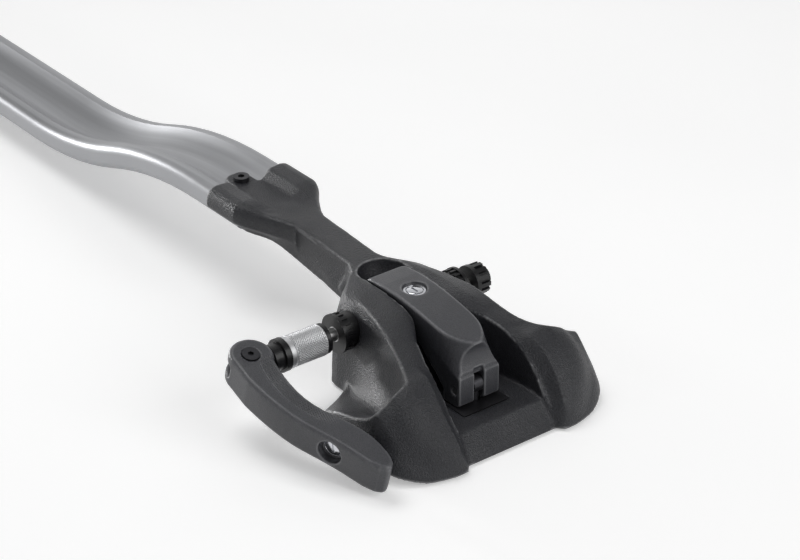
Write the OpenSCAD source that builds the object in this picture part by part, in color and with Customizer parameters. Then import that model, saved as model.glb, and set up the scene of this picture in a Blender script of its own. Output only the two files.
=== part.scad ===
// Roof mounted bike carrier that holds a fork by its ends.
// X points to the right, Y to the rear along the rail, Z up, in millimetres.
// The origin lies on the clamp bolt's axis, at the top of the front roof bar.

/* [Fork seats and skewer] */
// Distance between the two fork seat faces
fork_gap = 100; // [90:1:110]
// Height of the skewer's axis above the roof bar
axle_z = 38; // [36:0.5:40]
// Distance of the skewer's axis behind the clamp bolt
axle_y = 84; // [80:0.5:90]
// Diameter of the skewer rod
skewer_d = 5; // [4:0.5:6]
// Outer diameter of the steel sleeve inside the head
sleeve_d = 10; // [8.5:0.5:12]
// Diameter of the stub that locates a fork end
stub_d = 9; // [8:0.5:10]
// Length of the stub past the seat face
stub_l = 5; // [3:0.5:6]
// Diameter of a fork seat
seat_d = 26; // [22:1:28]
// Length of a fork seat outside the head
seat_l = 7; // [5:0.5:9]
// Room for one fork end between its seat and the washer
fork_end_t = 8; // [7:0.5:12]
// Thickness of the washer that presses on the fork end
washer_t = 3; // [2:0.5:4]
// Diameter of the knurled adjuster nut
nut_d = 21; // [18:0.5:24]
// Length of the knurled adjuster nut
nut_l = 28; // [22:1:34]
// Length of the collar between the nut and the lever
collar_l = 10.5; // [8:0.5:14]
// Length of the end nut on the right
end_nut_l = 14; // [10:1:18]
// Diameter of the end nut on the right
end_nut_d = 22; // [18:1:26]

/* [Skewer lever] */
// Angle by which the lever slopes down to the front
lever_slope = 16; // [10:1:20]
// Height of the lever across its broad side
lever_h = 23; // [18:1:26]
// Radius of the lever's head
lever_head_r = 14.2; // [13:0.2:16]
// Offset of the head's circle from the pivot, which makes it a cam
lever_cam = 0.9; // [0.5:0.1:1.2]
// Distance from the pivot to the tip of the lever
lever_len = 117; // [114:1:124]
// Diameter of the pivot pin
lever_pin_d = 6; // [5:0.5:8]
// Diameter of the pivot pin's head
lever_pin_head_d = 11; // [9:0.5:13]
// Distance from the pivot to the lever's lock
lever_lock_v = 82; // [76:1:86]

/* [Locks] */
// Diameter of a lock barrel
lock_d = 13; // [11:0.5:14]
// Depth of a lock barrel
lock_l = 10; // [8:0.5:11]
// Depth of a barrel's face below the surface
lock_sink = 3.5; // [1:0.25:4]
// Diameter of a turning lock core
core_d = 8.6; // [7:0.2:9]

/* [Clamp] */
// Width of the clamp lever
clamp_w = 29.6; // [26:0.4:31]
// Width of the clamp lever across its prongs
prong_w = 32; // [31:0.5:33]
// Height of the clamp lever's pivot above the roof bar
clamp_pivot_z = 21; // [20:0.5:22]
// Diameter of the clamp lever's pivot pin
clamp_pin_d = 5; // [4:0.5:6]
// Diameter of the clamp bolt
bolt_d = 6; // [5:0.5:6]
// Width of the slot between the clamp lever's prongs
prong_slot = 7.6; // [7.2:0.2:10]
// Distance from the pivot to the prongs' bottom
prong_reach = 10.7; // [10:0.1:11]
// Fall of the clamp bolt when the lever is lifted all the way
cam_fall = 1.5; // [0.5:0.1:2]
// Angle through which the clamp lever lifts
clamp_lift = 110; // [90:5:110]
// Thickness of the steel plate under the prongs
cam_plate_t = 2.5; // [2:0.25:3]
// Width of the T-shaped bolt head across the bar's slot
t_head_w = 18; // [15:1:22]
// Thickness of the T-shaped bolt head
t_head_t = 4; // [3:0.5:5]
// Thickness of the lips of the roof bar's slot
bar_lip = 3.5; // [2.5:0.5:4]

/* [Head] */
// Height of the head's top above the roof bar
hood_h = 60; // [58:0.5:62]
// Greatest half width of the wings
wing_half = 88; // [86:1:96]
// Depth of the skirt below the top of the roof bar
skirt = 7; // [6:0.5:8]
// Radius of the roof bar's crowned top
bar_crown_r = 83; // [75:1:120]
// Thickness of the saddle pad
pad_t = 2; // [1.5:0.25:3]
// Half width of the neck
neck_half = 12; // [11:0.5:14]
// Depth of the panels sunk into the neck's sides
panel_t = 1.2; // [0.8:0.2:1.6]

/* [Rail] */
// Width of the rail
rail_w = 62; // [56:1:66]
// Height of the rail
rail_h = 18; // [16:0.5:20]
// Height of the rail's underside above the roof bar at the rear
rail_rear_z = 10; // [8:0.5:14]
// Drop of the rail from front to rear
rail_drop = 38; // [30:1:46]
// Angle of the rail's bends
rail_bend = 20; // [16:1:26]
// Rear end of the rail, measured from the clamp bolt
rail_end_y = 1330; // [1200:5:1400]
// Wall thickness of the rail
rail_wall = 2.2; // [1.8:0.1:2.6]
// Width of the mouth of the slot under the rail
rail_slot = 12; // [10:0.5:14]
// Length of the rail end cap outside the rail
cap_l = 8; // [5:1:14]

/* [Rear foot] */
// Place of the rear foot along the rail
foot_y = 760; // [700:5:800]
// Length of the rear foot along the rail
foot_l = 64; // [54:1:76]
// Diameter of the rear knob
knob_d = 36; // [32:1:42]
// Height of the rear knob
knob_h = 18; // [14:1:24]
// Thickness of the rear foot's pad
foot_pad_t = 3; // [2:0.5:4]

/* [Wheel tray] */
// Distance from the rail's rear end forward to the middle of the wheel tray
tray_back = 160; // [145:5:230]
// Length of the wheel tray
tray_l = 200; // [160:5:240]
// Width of the wheel tray at its top
tray_w = 84; // [76:1:96]
// Height of the tray's sides above the rail
tray_h = 26; // [20:1:34]
// Wall thickness of the tray
tray_wall = 3; // [2.5:0.25:4]
// Width of the wheel strap
strap_w = 26; // [20:1:32]
// Thickness of the wheel strap
strap_t = 2.6; // [2:0.2:3]
// Height of the closed strap's arch above the tray's sides
strap_rise = 30; // [24:1:40]
// Length of the strap buckle's lever
buckle_l = 44; // [38:1:52]

/* [Hidden] */
$fn = 64;
// Running clearance on a pin or shaft, gap between moving faces, and overlap of cutting tools
fit = 0.05;
gap = 0.4;
cut = 1;
black = [0.17, 0.17, 0.18];
alu = [0.8, 0.81, 0.82];
steel = [0.7, 0.71, 0.73];
rubber = [0.1, 0.1, 0.1];

// Places along the skewer, measured to the left from the middle
wall_x = fork_gap / 2 - seat_l;
spigot_l = 6;
washer_x = fork_gap / 2 + fork_end_t;
nut_x = washer_x + washer_t;
collar_x = nut_x + nut_l;
cam_gap = 0.55;
pivot_x = collar_x + collar_l + cam_gap + lever_head_r + lever_cam;

// Heights of the rail and places of its bends
rail_front_z = rail_rear_z + rail_drop;
// The radius is a whole number of hundredths, so that the two bends meet exactly
bend_r = round(50 * rail_drop / (1 - cos(rail_bend))) / 100;
bend_drop = 2 * bend_r * (1 - cos(rail_bend));
socket_y0 = axle_y + 132;
socket_y1 = axle_y + 164;
rail_front_y = socket_y0 + 1;
bend_y0 = axle_y + 184;
bend_l = 2 * bend_r * sin(rail_bend);
bend_y2 = bend_y0 + bend_l;
tray_y = rail_end_y - tray_back;
rim_w = 13;
channel_z = rail_h / 2;

// The head is drawn from a line this far in front of the clamp bolt's axis
clamp_y = 6.5;
// Place of the rear bolt, height of the pocket's floor and place of the front sill
foot_bolt_x = rail_w / 2 + knob_d / 2 + 2.5;
floor_z = clamp_pivot_z - prong_reach - gap;
sill_y = -20;
plate_w = prong_w + 4;
plate_l = 26;

// Smooth curve through knots [y, a, b, ...], which run from the rear to the front
function slope_at(k, i) = i == 0 ? (k[1] - k[0]) / (k[1][0] - k[0][0])
    : i == len(k) - 1 ? (k[i] - k[i - 1]) / (k[i][0] - k[i - 1][0])
    : (k[i + 1] - k[i - 1]) / (k[i + 1][0] - k[i - 1][0]);
function hermite(a, b, ma, mb, d, t) = a * (1 + 2 * t) * (1 - t) * (1 - t) + ma * d * t * (1 - t) * (1 - t)
    + b * t * t * (3 - 2 * t) - mb * d * t * t * (1 - t);
function span_of(k, y, i = 0) = i >= len(k) - 2 || y >= k[i + 1][0] ? i : span_of(k, y, i + 1);
function along(k, y) = let (i = span_of(k, y), d = k[i + 1][0] - k[i][0], t = (y - k[i][0]) / d)
    hermite(k[i], k[i + 1], slope_at(k, i), slope_at(k, i + 1), d, t);
function bezier(a, b, c, t) = a * (1 - t) * (1 - t) + b * 2 * t * (1 - t) + c * t * t;

// Guide lines of the head, as knots [y, x, z]: the inner edge, the crest, the foot of the scoop,
// the rim of the wing and the lower edge of the skirt
neck_top = rail_front_z + 14;
sock_top = rail_front_z + rail_h + 2.8;
sock_half = rail_w / 2 + 3.6;
sock_low = rail_front_z - 2.8;
edge_line = [[socket_y1, 10, neck_top - 1], [socket_y0, 10, neck_top], [axle_y + 116, 9, neck_top + 1.5],
    [axle_y + 94, neck_half / 2, neck_top + 1], [axle_y + 66, neck_half / 2, neck_top],
    [axle_y + 37, neck_half / 2, hood_h + 0.3], [axle_y + 20, 12, hood_h], [axle_y, 16, hood_h + 0.5],
    [axle_y - 27, 19, hood_h - 1.5], [46, 21, 56], [33, 27, 50], [20, 31, 46], [9, 33, 40.5], [2, 34, 36.5],
    [-8, 36, 28], [-17, 37, 17], [-25, 36.2, 7.5], [-31, 35.2, -3], [-35, 36, -5.5], [-37, 39, -5.2]];
crest_line = [[socket_y1, sock_half - 9, sock_top], [socket_y0, sock_half - 9, sock_top],
    [axle_y + 116, 20, neck_top + 2.5], [axle_y + 94, neck_half - 0.5, neck_top + 0.6],
    [axle_y + 66, neck_half - 1, neck_top - 0.3], [axle_y + 37, neck_half - 1, hood_h],
    [axle_y + 28, neck_half + 1.5, hood_h - 0.4], [axle_y + 20, 20, hood_h - 1.4],
    [axle_y + 14, 25, hood_h - 2.2], [axle_y, 31, hood_h - 3], [axle_y - 14, 34.8, hood_h - 3.4],
    [axle_y - 27, 38, hood_h - 4], [46, 40, 53.6], [33, 43, 49.3], [20, 47, 45.4], [9, 52, 44.2], [2,
        56, 43.8],
    [-8, 56, 38.5], [-17, 55, 30], [-25, 52, 20.5], [-31, 49, 12], [-35, 46.5, 3], [-37, 44, -5.2]];
foot_line = [[socket_y1, sock_half, sock_top - 9], [socket_y0, sock_half, sock_top - 9],
    [axle_y + 116, 24.5, neck_top - 4], [axle_y + 94, neck_half + 1, neck_top - 5],
    [axle_y + 66, neck_half, neck_top - 5], [axle_y + 37, neck_half + 0.4, 42], [axle_y + 28, 19, 36],
    [axle_y + 20, 33, 22], [axle_y + 14, wall_x - 1, 5], [axle_y, wall_x, 5], [axle_y - 6, wall_x + 0.5, 4],
    [axle_y - 14, wall_x + 2.5, 2], [axle_y - 27, 52, 5], [46, 57, 9], [33, 62, 13], [20, 66, 17], [9,
        69, 23],
    [5, 69.6, 28], [2.8, 70, 35.5], [2, 70, 36.6], [-8, 71, 30.5], [-17, 70, 21.5], [-25, 65, 12.5],
        [-31, 59.5, 4], [-35, 52.5, -2],
    [-37, 46.2, -5.9]];
rim_line = [[socket_y1, sock_half, sock_low + 10], [socket_y0, sock_half, sock_low + 10],
    [axle_y + 116, 24, neck_top - 10], [axle_y + 94, neck_half + 1, neck_top - 12],
    [axle_y + 66, neck_half, neck_top - 16], [axle_y + 37, neck_half + 0.8, 34], [axle_y + 28, 18.5, 28],
    [axle_y + 20, 32.5, 14], [axle_y + 14, wall_x - 0.7, -2], [axle_y, wall_x + 0.3, -2],
    [axle_y - 6, wall_x + 4, -1], [axle_y - 14, wing_half - 26, -1], [axle_y - 27, wing_half - 11, 6.5],
    [46, wing_half - 6.5, 13], [33, wing_half - 4.5, 18.8], [20, wing_half - 4, 22.2], [9,
        wing_half - 5.2, 26],
    [5, wing_half - 6.6, 28.6], [2, wing_half - 8.5, 31.8], [-8, wing_half - 9.5, 23.5], [-17,
        wing_half - 12, 14], [-25, wing_half - 18, 6],
    [-31, 62.5, 0], [-35, 54.5, -3.5], [-37, 47, -6.2]];
skirt_line = [[socket_y1, 24, sock_low], [socket_y0, 24, sock_low], [axle_y + 116, 15, sock_low - 3],
    [axle_y + 94, neck_half - 2, neck_top - 27], [axle_y + 66, neck_half - 2.5, neck_top - 31],
    [axle_y + 37, neck_half - 2, 26], [axle_y + 28, 15, 18], [axle_y + 20, 29, 6],
    [axle_y + 14, wall_x - 0.4, -skirt], [axle_y, wall_x + 0.7, -skirt], [axle_y - 6, wall_x + 5, -skirt],
    [axle_y - 14, wing_half - 25, -skirt], [axle_y - 27, wing_half - 8, -skirt], [46, wing_half - 3.5,
        -skirt],
    [33, wing_half - 1.2, -skirt], [20, wing_half, -skirt], [2, wing_half + 0.6, -skirt],
    [-8, wing_half, -skirt], [-17, wing_half - 2.2, -skirt], [-25, wing_half - 9.2, -skirt], [-31,
        68.5, -skirt],
    [-35, 57.3, -skirt], [-37, 48.5, -skirt]];
// Roundness of the side below the crest: 1 bulges out to a shoulder, 0 is hollowed to a scoop
swell_line = [[socket_y1, 0.95], [axle_y + 37, 0.95], [axle_y, 0.9], [axle_y - 8, 0.72], [axle_y - 20,
    0.48],
    [46, 0.34], [20, 0.28], [9, 0.3], [5, 0.4], [2, 0.66], [-37, 0.66]];
stations = [socket_y1, socket_y0, axle_y + 127, axle_y + 121, axle_y + 116, axle_y + 110, axle_y + 102,
    axle_y + 94, axle_y + 66, axle_y + 37, axle_y + 32, axle_y + 28, axle_y + 24, axle_y + 20, axle_y + 17,
    axle_y + 14, axle_y + 7, axle_y, axle_y - 3, axle_y - 6, axle_y - 10, axle_y - 14, axle_y - 20,
    axle_y - 27, 51, 46, 39, 33, 26, 20, 14, 9, 6.5, 4.6, 3.2, 2, -3, -8, -12, -17, -21, -25, -28, -31,
        -33, -35, -36, -37];
shoulder_steps = 5;
skirt_steps = 3;

// Right half of the head's section at one station, from the top middle to the bottom middle
function half_section(y) = let (e = along(edge_line, y), c = along(crest_line, y), f = along(foot_line, y),
        r = along(rim_line, y), s = along(skirt_line, y), w = along(swell_line, y)[1],
        low = max(s[2], -skirt),
        hollow = [c[1], y, f[2]], full = [f[1], y, c[2]],
        swell = hollow + (full - hollow) * w,
        hem = [r[1] + 0.8 * (s[1] - r[1]), y, r[2] - 0.4 * (r[2] - low)])
    [[0, y, e[2]], [e[1], y, e[2]], [e[1] + 0.6 * min(11, c[1] - e[1]), y, max(e[2], c[2] - 1)],
        for (i = [0:shoulder_steps]) bezier([c[1], y, c[2]], swell, [f[1], y, f[2]], i / shoulder_steps),
        [(f[1] + r[1]) / 2, y, (f[2] + r[2]) / 2],
        for (i = [0:skirt_steps]) bezier([r[1], y, r[2]], hem, [s[1], y, low], i / skirt_steps),
        [0, y, low]];
function mirrored(p) = [for (i = [len(p) - 2:-1:1]) [-p[i][0], p[i][1], p[i][2]]];
function ring(y) = let (h = half_section(y)) concat(h, mirrored(h));

// Triangles that fan out over n corners of a ring from one of them
function fan(n, apex = 0) = [for (i = [1:n - 2]) [apex, (apex + i) % n, (apex + i + 1) % n]];

// Solid through closed rings of equal length, each end closed by the triangles in caps
module loft(rings, caps) {
    n = len(rings[0]);
    m = len(rings);
    sides = [for (j = [0:m - 2]) for (i = [0:n - 1]) let (k = (i + 1) % n)
        each [[j * n + i, j * n + k, (j + 1) * n + k], [j * n + i, (j + 1) * n + k, (j + 1) * n + i]]];
    first = [for (t = caps) [t[0], t[2], t[1]]];
    last = [for (t = caps) [for (i = t) (m - 1) * n + i]];
    polyhedron([for (r = rings) each r], concat(sides, first, last));
}

// Puts a piece in its place, with the clamp bolt's axis at the origin
module on_bar() {
    translate([0, -clamp_y, 0]) children();
}

// Turns a profile drawn in (Y, Z) into a slab across X
module across(w) {
    rotate([90, 0, 90]) translate([0, 0, -w / 2]) linear_extrude(w) children();
}

// Cylinder along X from x0 to x1
module x_rod(x0, x1, d) {
    translate([min(x0, x1), 0, 0]) rotate([0, 90, 0]) cylinder(d = d, h = abs(x1 - x0));
}

module at_axle() {
    translate([0, axle_y, axle_z]) children();
}

// Plan of the open pocket: a slot for the lever that opens out to the front sill
pocket_slot = clamp_w / 2 + 1.2;
pocket_plan = [[8, axle_y + 26], [pocket_slot - 1, axle_y + 17], [pocket_slot, axle_y + 8],
    [pocket_slot, 46],
    [pocket_slot + 4, 39], [26, 30], [31, 16], [33.5, 2], [34.5, -12], [33.5, sill_y], [35.5, -33],
        [40, -39], [40, -45]];
// Side of the pocket: finger hollow at the rear, ramp, flat floor and front sill
pocket_side = [[axle_y + 30, hood_h + 20], [axle_y + 26, hood_h - 6], [axle_y + 18, hood_h - 12],
    [axle_y - 4, hood_h - 13.5], [axle_y - 24, hood_h - 18], [34, 20], [26, floor_z], [sill_y, floor_z],
    [-33, -skirt], [-45, -skirt - 14], [-45, hood_h + 20]];

module pocket() {
    intersection() {
        translate([0, 0, -skirt - 20]) linear_extrude(hood_h + skirt + 60)
            polygon(concat(pocket_plan, [for (i = [len(pocket_plan) - 1:-1:0])
                [-pocket_plan[i][0], pocket_plan[i][1]]]));
        across(4 * wing_half) polygon(pocket_side);
    }
}

// Sunk panel in one side of the neck
module neck_panel(side) {
    y0 = axle_y + 38;
    y1 = axle_y + 92;
    translate([side * (neck_half - panel_t + 6), 0, 0]) across(12)
        polygon([[y0, hood_h - 2.4], [y1, neck_top - 2], [y1, neck_top - 26], [y0 + 12, 31], [y0 + 1,
            hood_h - 11]]);
}

// Rail profile in (X, Z) with its underside at zero, grown on all sides by g
module rail_profile(g = 0) {
    half = rail_w / 2;
    r = rail_h / 3;
    difference() {
        union() {
            translate([-half + r, -g]) square([rail_w - 2 * r, rail_h + 2 * g]);
            translate([-half - g, r]) square([rail_w + 2 * g, rail_h - 2 * r]);
            for (x = [-1, 1]) for (z = [r, rail_h - r]) translate([x * (half - r), z]) circle(r + g);
        }
        channel_half = half - rim_w + 3;
        dip = rail_h - channel_z;
        channel_r = (channel_half * channel_half + dip * dip) / (2 * dip);
        translate([0, channel_z + channel_r + g]) circle(channel_r, $fn = 128);
    }
}

// Moves by v in three steps of falling size, which keeps more digits than one move
module exactly(v) {
    whole = [for (c = v) floor(c)];
    part = [for (c = v - whole) floor(c * 1e4) / 1e4];
    translate(whole) translate(part) translate(v - whole - part) children();
}

// Carries a profile in (X, Z) along the rail's path
module along_rail(y0, y1) {
    turn = [90, 0, 90];
    translate([0, bend_y0, rail_front_z]) {
        rotate([90, 0, 0]) linear_extrude(bend_y0 - y0) children();
        translate([0, 0, -bend_r]) rotate(turn) rotate_extrude(angle = rail_bend,
            start = 90 - rail_bend, $fn = 180)
            translate([bend_r, 0]) rotate(90) mirror([0, 1]) children();
        exactly([0, bend_l, -bend_drop]) {
            translate([0, y1 - bend_y2, 0]) rotate([90, 0, 0]) linear_extrude(y1 - bend_y2) children();
            translate([0, 0, bend_r]) rotate(turn) rotate_extrude(angle = rail_bend,
                start = 270 - rail_bend, $fn = 180)
                translate([bend_r, 0]) rotate(90) children();
        }
    }
}

slot_in = rail_slot + 10;
slot_roof = channel_z - rail_wall;
chamber = rim_w - 2 * rail_wall;

// Slot under the rail and the hollow chambers in its rims
module rail_hollows() {
    translate([-rail_slot / 2, -cut]) square([rail_slot, rail_wall + 2 * cut]);
    translate([-slot_in / 2, rail_wall]) square([slot_in, slot_roof - rail_wall]);
    for (x = [-1, 1]) translate([x * (rail_w / 2 - rim_w / 2), rail_h / 2])
        square([chamber - 1, rail_h - 5 * rail_wall], center = true);
}

module rail() {
    color(alu) on_bar() difference() {
        along_rail(rail_front_y, rail_end_y) difference() {
            rail_profile();
            rail_hollows();
        }
        translate([0, tongue_y, rail_front_z + slot_roof - cut]) cylinder(d = screw_d, h = rail_h);
    }
}

tongue_half = 9;
tongue_l = 24;
tongue_t = 3.2;
tongue_y = socket_y1 + 8;
screw_d = 6;
screw_head_d = 11;
screw_l = tongue_t + gap + rail_wall + 2;

// Tongue that lies in the rail's channel, past the socket
module tongue() {
    z = rail_front_z + channel_z;
    difference() {
        translate([0, 0, z + gap]) union() {
            translate([-tongue_half, socket_y1 - 5, 0]) cube([2 * tongue_half, 16, tongue_t]);
            translate([0, socket_y1 + 11, 0]) cylinder(r = tongue_half, h = tongue_t);
        }
        translate([0, tongue_y, z - cut]) cylinder(d = screw_d + 2 * fit, h = tongue_t + 4);
    }
}

module head_housing() {
    color(black) on_bar() difference() {
        union() {
            loft([for (y = stations) ring(y)], fan(len(ring(0)), len(half_section(0)) - 1));
            tongue();
        }
        pocket();
        for (s = [-1, 1]) neck_panel(s);
        // Hollows under the rear of the head, with a rib between them
        for (x = [2, 6 - wall_x]) translate([x, 50, -skirt - cut]) cube([wall_x - 8, axle_y + 8 - 50,
            skirt + 25]);
        // Saddle over the roof bar, with room for the pad
        translate([0, clamp_y, -bar_crown_r]) x_rod(-2 * wing_half, 2 * wing_half,
            2 * (bar_crown_r + pad_t));
        // Bore for the axle sleeve and hole for the clamp bolt
        at_axle() x_rod(-fork_gap, fork_gap, sleeve_d + 2 * fit);
        for (x = [-1, 1]) at_axle() x_rod(x * (wall_x - spigot_l), x * fork_gap, seat_d - 3 + 2 * fit);
        translate([0, clamp_y, -skirt - cut]) cylinder(d = bolt_d + 3, h = floor_z + skirt + 2 * cut);
        translate([-plate_w / 2 - fit, clamp_y - plate_l / 2 - fit, floor_z - cam_plate_t])
            cube([plate_w + 2 * fit, plate_l + 2 * fit, cam_plate_t + 8]);
        // Socket for the rail
        translate([0, socket_y1 + tongue_l, rail_front_z]) rotate([90, 0, 0])
            linear_extrude(socket_y1 + tongue_l - rail_front_y) rail_profile(gap / 2);
        translate([0, tongue_y, rail_front_z]) cylinder(d = screw_d + 2 * fit, h = rail_h + 10);
        translate([0, tongue_y, rail_front_z + channel_z + gap + tongue_t])
            cylinder(d = screw_head_d + 1, h = rail_h);
    }
}

module saddle_pad() {
    pad_x = wing_half - 22;
    pad_y = 26;
    color(rubber) on_bar() translate([0, clamp_y, 0]) difference() {
        intersection() {
            translate([0, 0, -bar_crown_r]) x_rod(-pad_x, pad_x, 2 * (bar_crown_r + pad_t));
            translate([-pad_x, -pad_y, -skirt]) cube([2 * pad_x, 2 * pad_y, skirt + pad_t + cut]);
        }
        translate([0, 0, -bar_crown_r]) x_rod(-wing_half, wing_half, 2 * bar_crown_r);
        translate([0, 0, -cut]) cylinder(d = bolt_d + 6, h = pad_t + 2 * cut);
    }
}

module axle_sleeve() {
    reach = fork_gap / 2 + stub_l;
    color(steel) on_bar() at_axle() difference() {
        union() {
            x_rod(-fork_gap / 2, fork_gap / 2, sleeve_d);
            x_rod(-reach, reach, stub_d);
        }
        x_rod(-reach - cut, reach + cut, skewer_d + 2 * fit);
    }
}

// Ribbed collar that a fork end is pressed against
module fork_seat(side) {
    color(black) on_bar() at_axle() difference() {
        union() {
            x_rod(side * (wall_x - spigot_l), side * (fork_gap / 2), seat_d - 3);
            x_rod(side * (fork_gap / 2 - 2.2), side * (fork_gap / 2), seat_d);
            for (a = [0:20:340]) rotate([a, 0, 0]) translate([side * (wall_x + fork_gap / 2) / 2, 0,
                seat_d / 2 - 1.6])
                cube([seat_l, 1.6, 2.4], center = true);
        }
        x_rod(-fork_gap, fork_gap, sleeve_d);
    }
}

module fork_seat_left() {
    fork_seat(-1);
}

module fork_seat_right() {
    fork_seat(1);
}

module cam_plate() {
    color(steel) on_bar() translate([0, clamp_y, floor_z - cam_plate_t]) difference() {
        translate([-plate_w / 2, -plate_l / 2, 0]) cube([plate_w, plate_l, cam_plate_t]);
        translate([0, 0, -cut]) cylinder(d = bolt_d + 2, h = cam_plate_t + 2 * cut);
    }
}

module tongue_screw() {
    z = rail_front_z + channel_z + gap + tongue_t;
    color(steel) on_bar() translate([0, tongue_y, z]) difference() {
        union() {
            cylinder(d = screw_head_d, h = 3);
            translate([0, 0, -screw_l]) cylinder(d = screw_d, h = screw_l);
        }
        translate([0, 0, 1]) cylinder(d = 5, h = 3, $fn = 6);
    }
}

eye_d = clamp_pin_d + 6;

module clamp_bolt() {
    head_z = -bar_lip - t_head_t;
    color(steel) on_bar() translate([0, clamp_y, 0]) difference() {
        union() {
            cylinder(d = bolt_d, h = clamp_pivot_z);
            translate([0, 0, head_z]) cylinder(d = bolt_d, h = -head_z);
            translate([-t_head_w * 0.7, -t_head_w / 2, head_z]) cube([1.4 * t_head_w, t_head_w, t_head_t]);
            translate([0, 0, clamp_pivot_z]) x_rod(-prong_slot / 2 + gap, prong_slot / 2 - gap, eye_d);
        }
        translate([0, 0, clamp_pivot_z]) x_rod(-clamp_w, clamp_w, clamp_pin_d);
    }
}

module clamp_pin() {
    color(steel) on_bar() translate([0, clamp_y, clamp_pivot_z]) x_rod(1 - prong_w / 2,
        prong_w / 2 - 1, clamp_pin_d);
}

// Clamp lever: knots [y, half width of the top face, its height, lower edge of the sloping side, underside,
// half width below that edge]
clamp_half = clamp_w / 2;
prong_half = prong_w / 2;
clamp_knots = [[axle_y + 15, 13.6, hood_h - 2.5, hood_h - 5, hood_h - 7, clamp_half],
    [axle_y + 10, clamp_half, hood_h + 1.2, hood_h - 4, hood_h - 8.5, clamp_half],
    [axle_y - 18, clamp_half, hood_h + 2.3, hood_h - 6, hood_h - 13, clamp_half],
    [46, clamp_half, hood_h + 0.3, hood_h - 11.5, hood_h - 20, clamp_half],
    [35, clamp_half, hood_h - 1.4, hood_h - 15.8, hood_h - 28, clamp_half + 0.4],
    [25, clamp_half - 0.2, hood_h - 3.2, 40.2, 26, prong_half],
    [20, clamp_half - 0.8, hood_h - 4.2, 38.2, 23.5, prong_half],
    [15, clamp_half - 2.4, hood_h - 5.2, 36.2, 22, prong_half],
    [10, clamp_half - 5, hood_h - 6.2, 34.2, 22, prong_half], [6, 6.6, hood_h - 7, 32.5, 22, prong_half],
    [4, 4.4, hood_h - 7.3, 32, 22, prong_half], [2, 2, hood_h - 7.7, 31.6, 22, prong_half]];
clamp_stations = [axle_y + 15, axle_y + 12.5, axle_y + 10, axle_y - 4, axle_y - 18, 55, 46, 40, 35, 30,
    25, 20, 17,
    14, 11, 8.5, 6, 4.5, 3, 2];
prong_front = 5.5;
prong_rear = 17;
prong_top = clamp_pivot_z + 10.5;
// Hollow in the lever's front, below its nose
hollow_r = 12.5;
lock_y = axle_y - 18;
clamp_lock_top = hood_h + 2.3;

function clamp_ring(y) = let (k = along(clamp_knots, y))
    [[-k[1] + 1, y, k[2]], [k[1] - 1, y, k[2]], [k[1], y, k[2] - 1], [k[5], y, k[3]], [k[5], y, k[4]],
        [-k[5], y, k[4]], [-k[5], y, k[3]], [-k[1], y, k[2] - 1]];
// Lower front of the prongs: a spiral about the pivot that lets the bolt fall as the lever lifts
cam_curve = [for (a = [0:5:30]) let (r = prong_reach - cam_fall * a / clamp_lift)
    [clamp_y - r * sin(a), clamp_pivot_z - r * cos(a)]];

module clamp_lever() {
    front = clamp_y - prong_front;
    color(black) on_bar() difference() {
        union() {
            loft([for (y = clamp_stations) clamp_ring(y)], fan(len(clamp_ring(0))));
            // Block that carries the prongs
            across(prong_w) polygon(concat(cam_curve,
                [[front, cam_curve[len(cam_curve) - 1][1] + 1], [front, prong_top], [5, prong_top + 0.3],
                    [14, prong_top + 2.5], [25, 36], [25, 26], [prong_rear, 18],
                    [prong_rear, clamp_pivot_z - prong_reach]]));
        }
        translate([0, front - 8, prong_top + 11.5]) x_rod(-prong_w, prong_w, 2 * hollow_r);
        translate([-prong_slot / 2, front - cut, 0]) cube([prong_slot, prong_front + 7, prong_top - 1.5]);
        translate([-prong_slot / 2, front - cut, 0]) cube([prong_slot, 4, prong_top + 3]);
        translate([0, clamp_y, clamp_pivot_z]) x_rod(-prong_w, prong_w, clamp_pin_d + 2 * fit);
        translate([0, lock_y, clamp_lock_top - lock_sink - lock_l])
            cylinder(d = lock_d + 2 * fit, h = lock_l + 20);
    }
}

// Lock barrel that faces +Z, with its face at zero
module barrel() {
    difference() {
        translate([0, 0, -lock_l]) cylinder(d = lock_d, h = lock_l);
        translate([0, 0, -lock_l + 1]) cylinder(d = core_d + 2 * fit, h = lock_l);
    }
}

// Turning core with its key slot
module core() {
    difference() {
        translate([0, 0, -lock_l + 1 + gap / 2]) cylinder(d = core_d, h = lock_l - 1);
        translate([-0.7, -core_d / 3, -4]) cube([1.4, 2 * core_d / 3, 6]);
    }
}

module clamp_lock_barrel() {
    color(steel) on_bar() translate([0, lock_y, clamp_lock_top - lock_sink]) barrel();
}

module clamp_lock_core() {
    color(steel) on_bar() translate([0, lock_y, clamp_lock_top - lock_sink]) core();
}

rod_right = fork_gap / 2 + fork_end_t + end_nut_l;
eye_half = 4;

module skewer_rod() {
    color(steel) on_bar() at_axle() difference() {
        union() {
            x_rod(-pivot_x, rod_right, skewer_d);
            translate([-pivot_x, 0, 0]) rotate([lever_slope, 0, 0]) translate([0, 0, -eye_half])
                cylinder(d = lever_pin_d + 5, h = 2 * eye_half);
        }
        translate([-pivot_x, 0, 0]) rotate([lever_slope, 0, 0]) translate([0, 0, -lever_h])
            cylinder(d = lever_pin_d, h = 2 * lever_h);
    }
}

module end_nut() {
    x0 = fork_gap / 2 + fork_end_t;
    color(black) on_bar() at_axle() difference() {
        union() {
            x_rod(x0, x0 + 3, end_nut_d);
            x_rod(x0, x0 + end_nut_l - 2, end_nut_d - 5);
            x_rod(x0, x0 + end_nut_l, end_nut_d - 9);
            for (a = [0:30:330]) rotate([a, 0, 0])
                translate([x0 + end_nut_l / 2 - 1, 0, end_nut_d / 2 - 2]) cube([end_nut_l - 4, 3, 3],
                    center = true);
        }
        x_rod(x0 - cut, rod_right + cut, skewer_d);
    }
}

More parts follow.
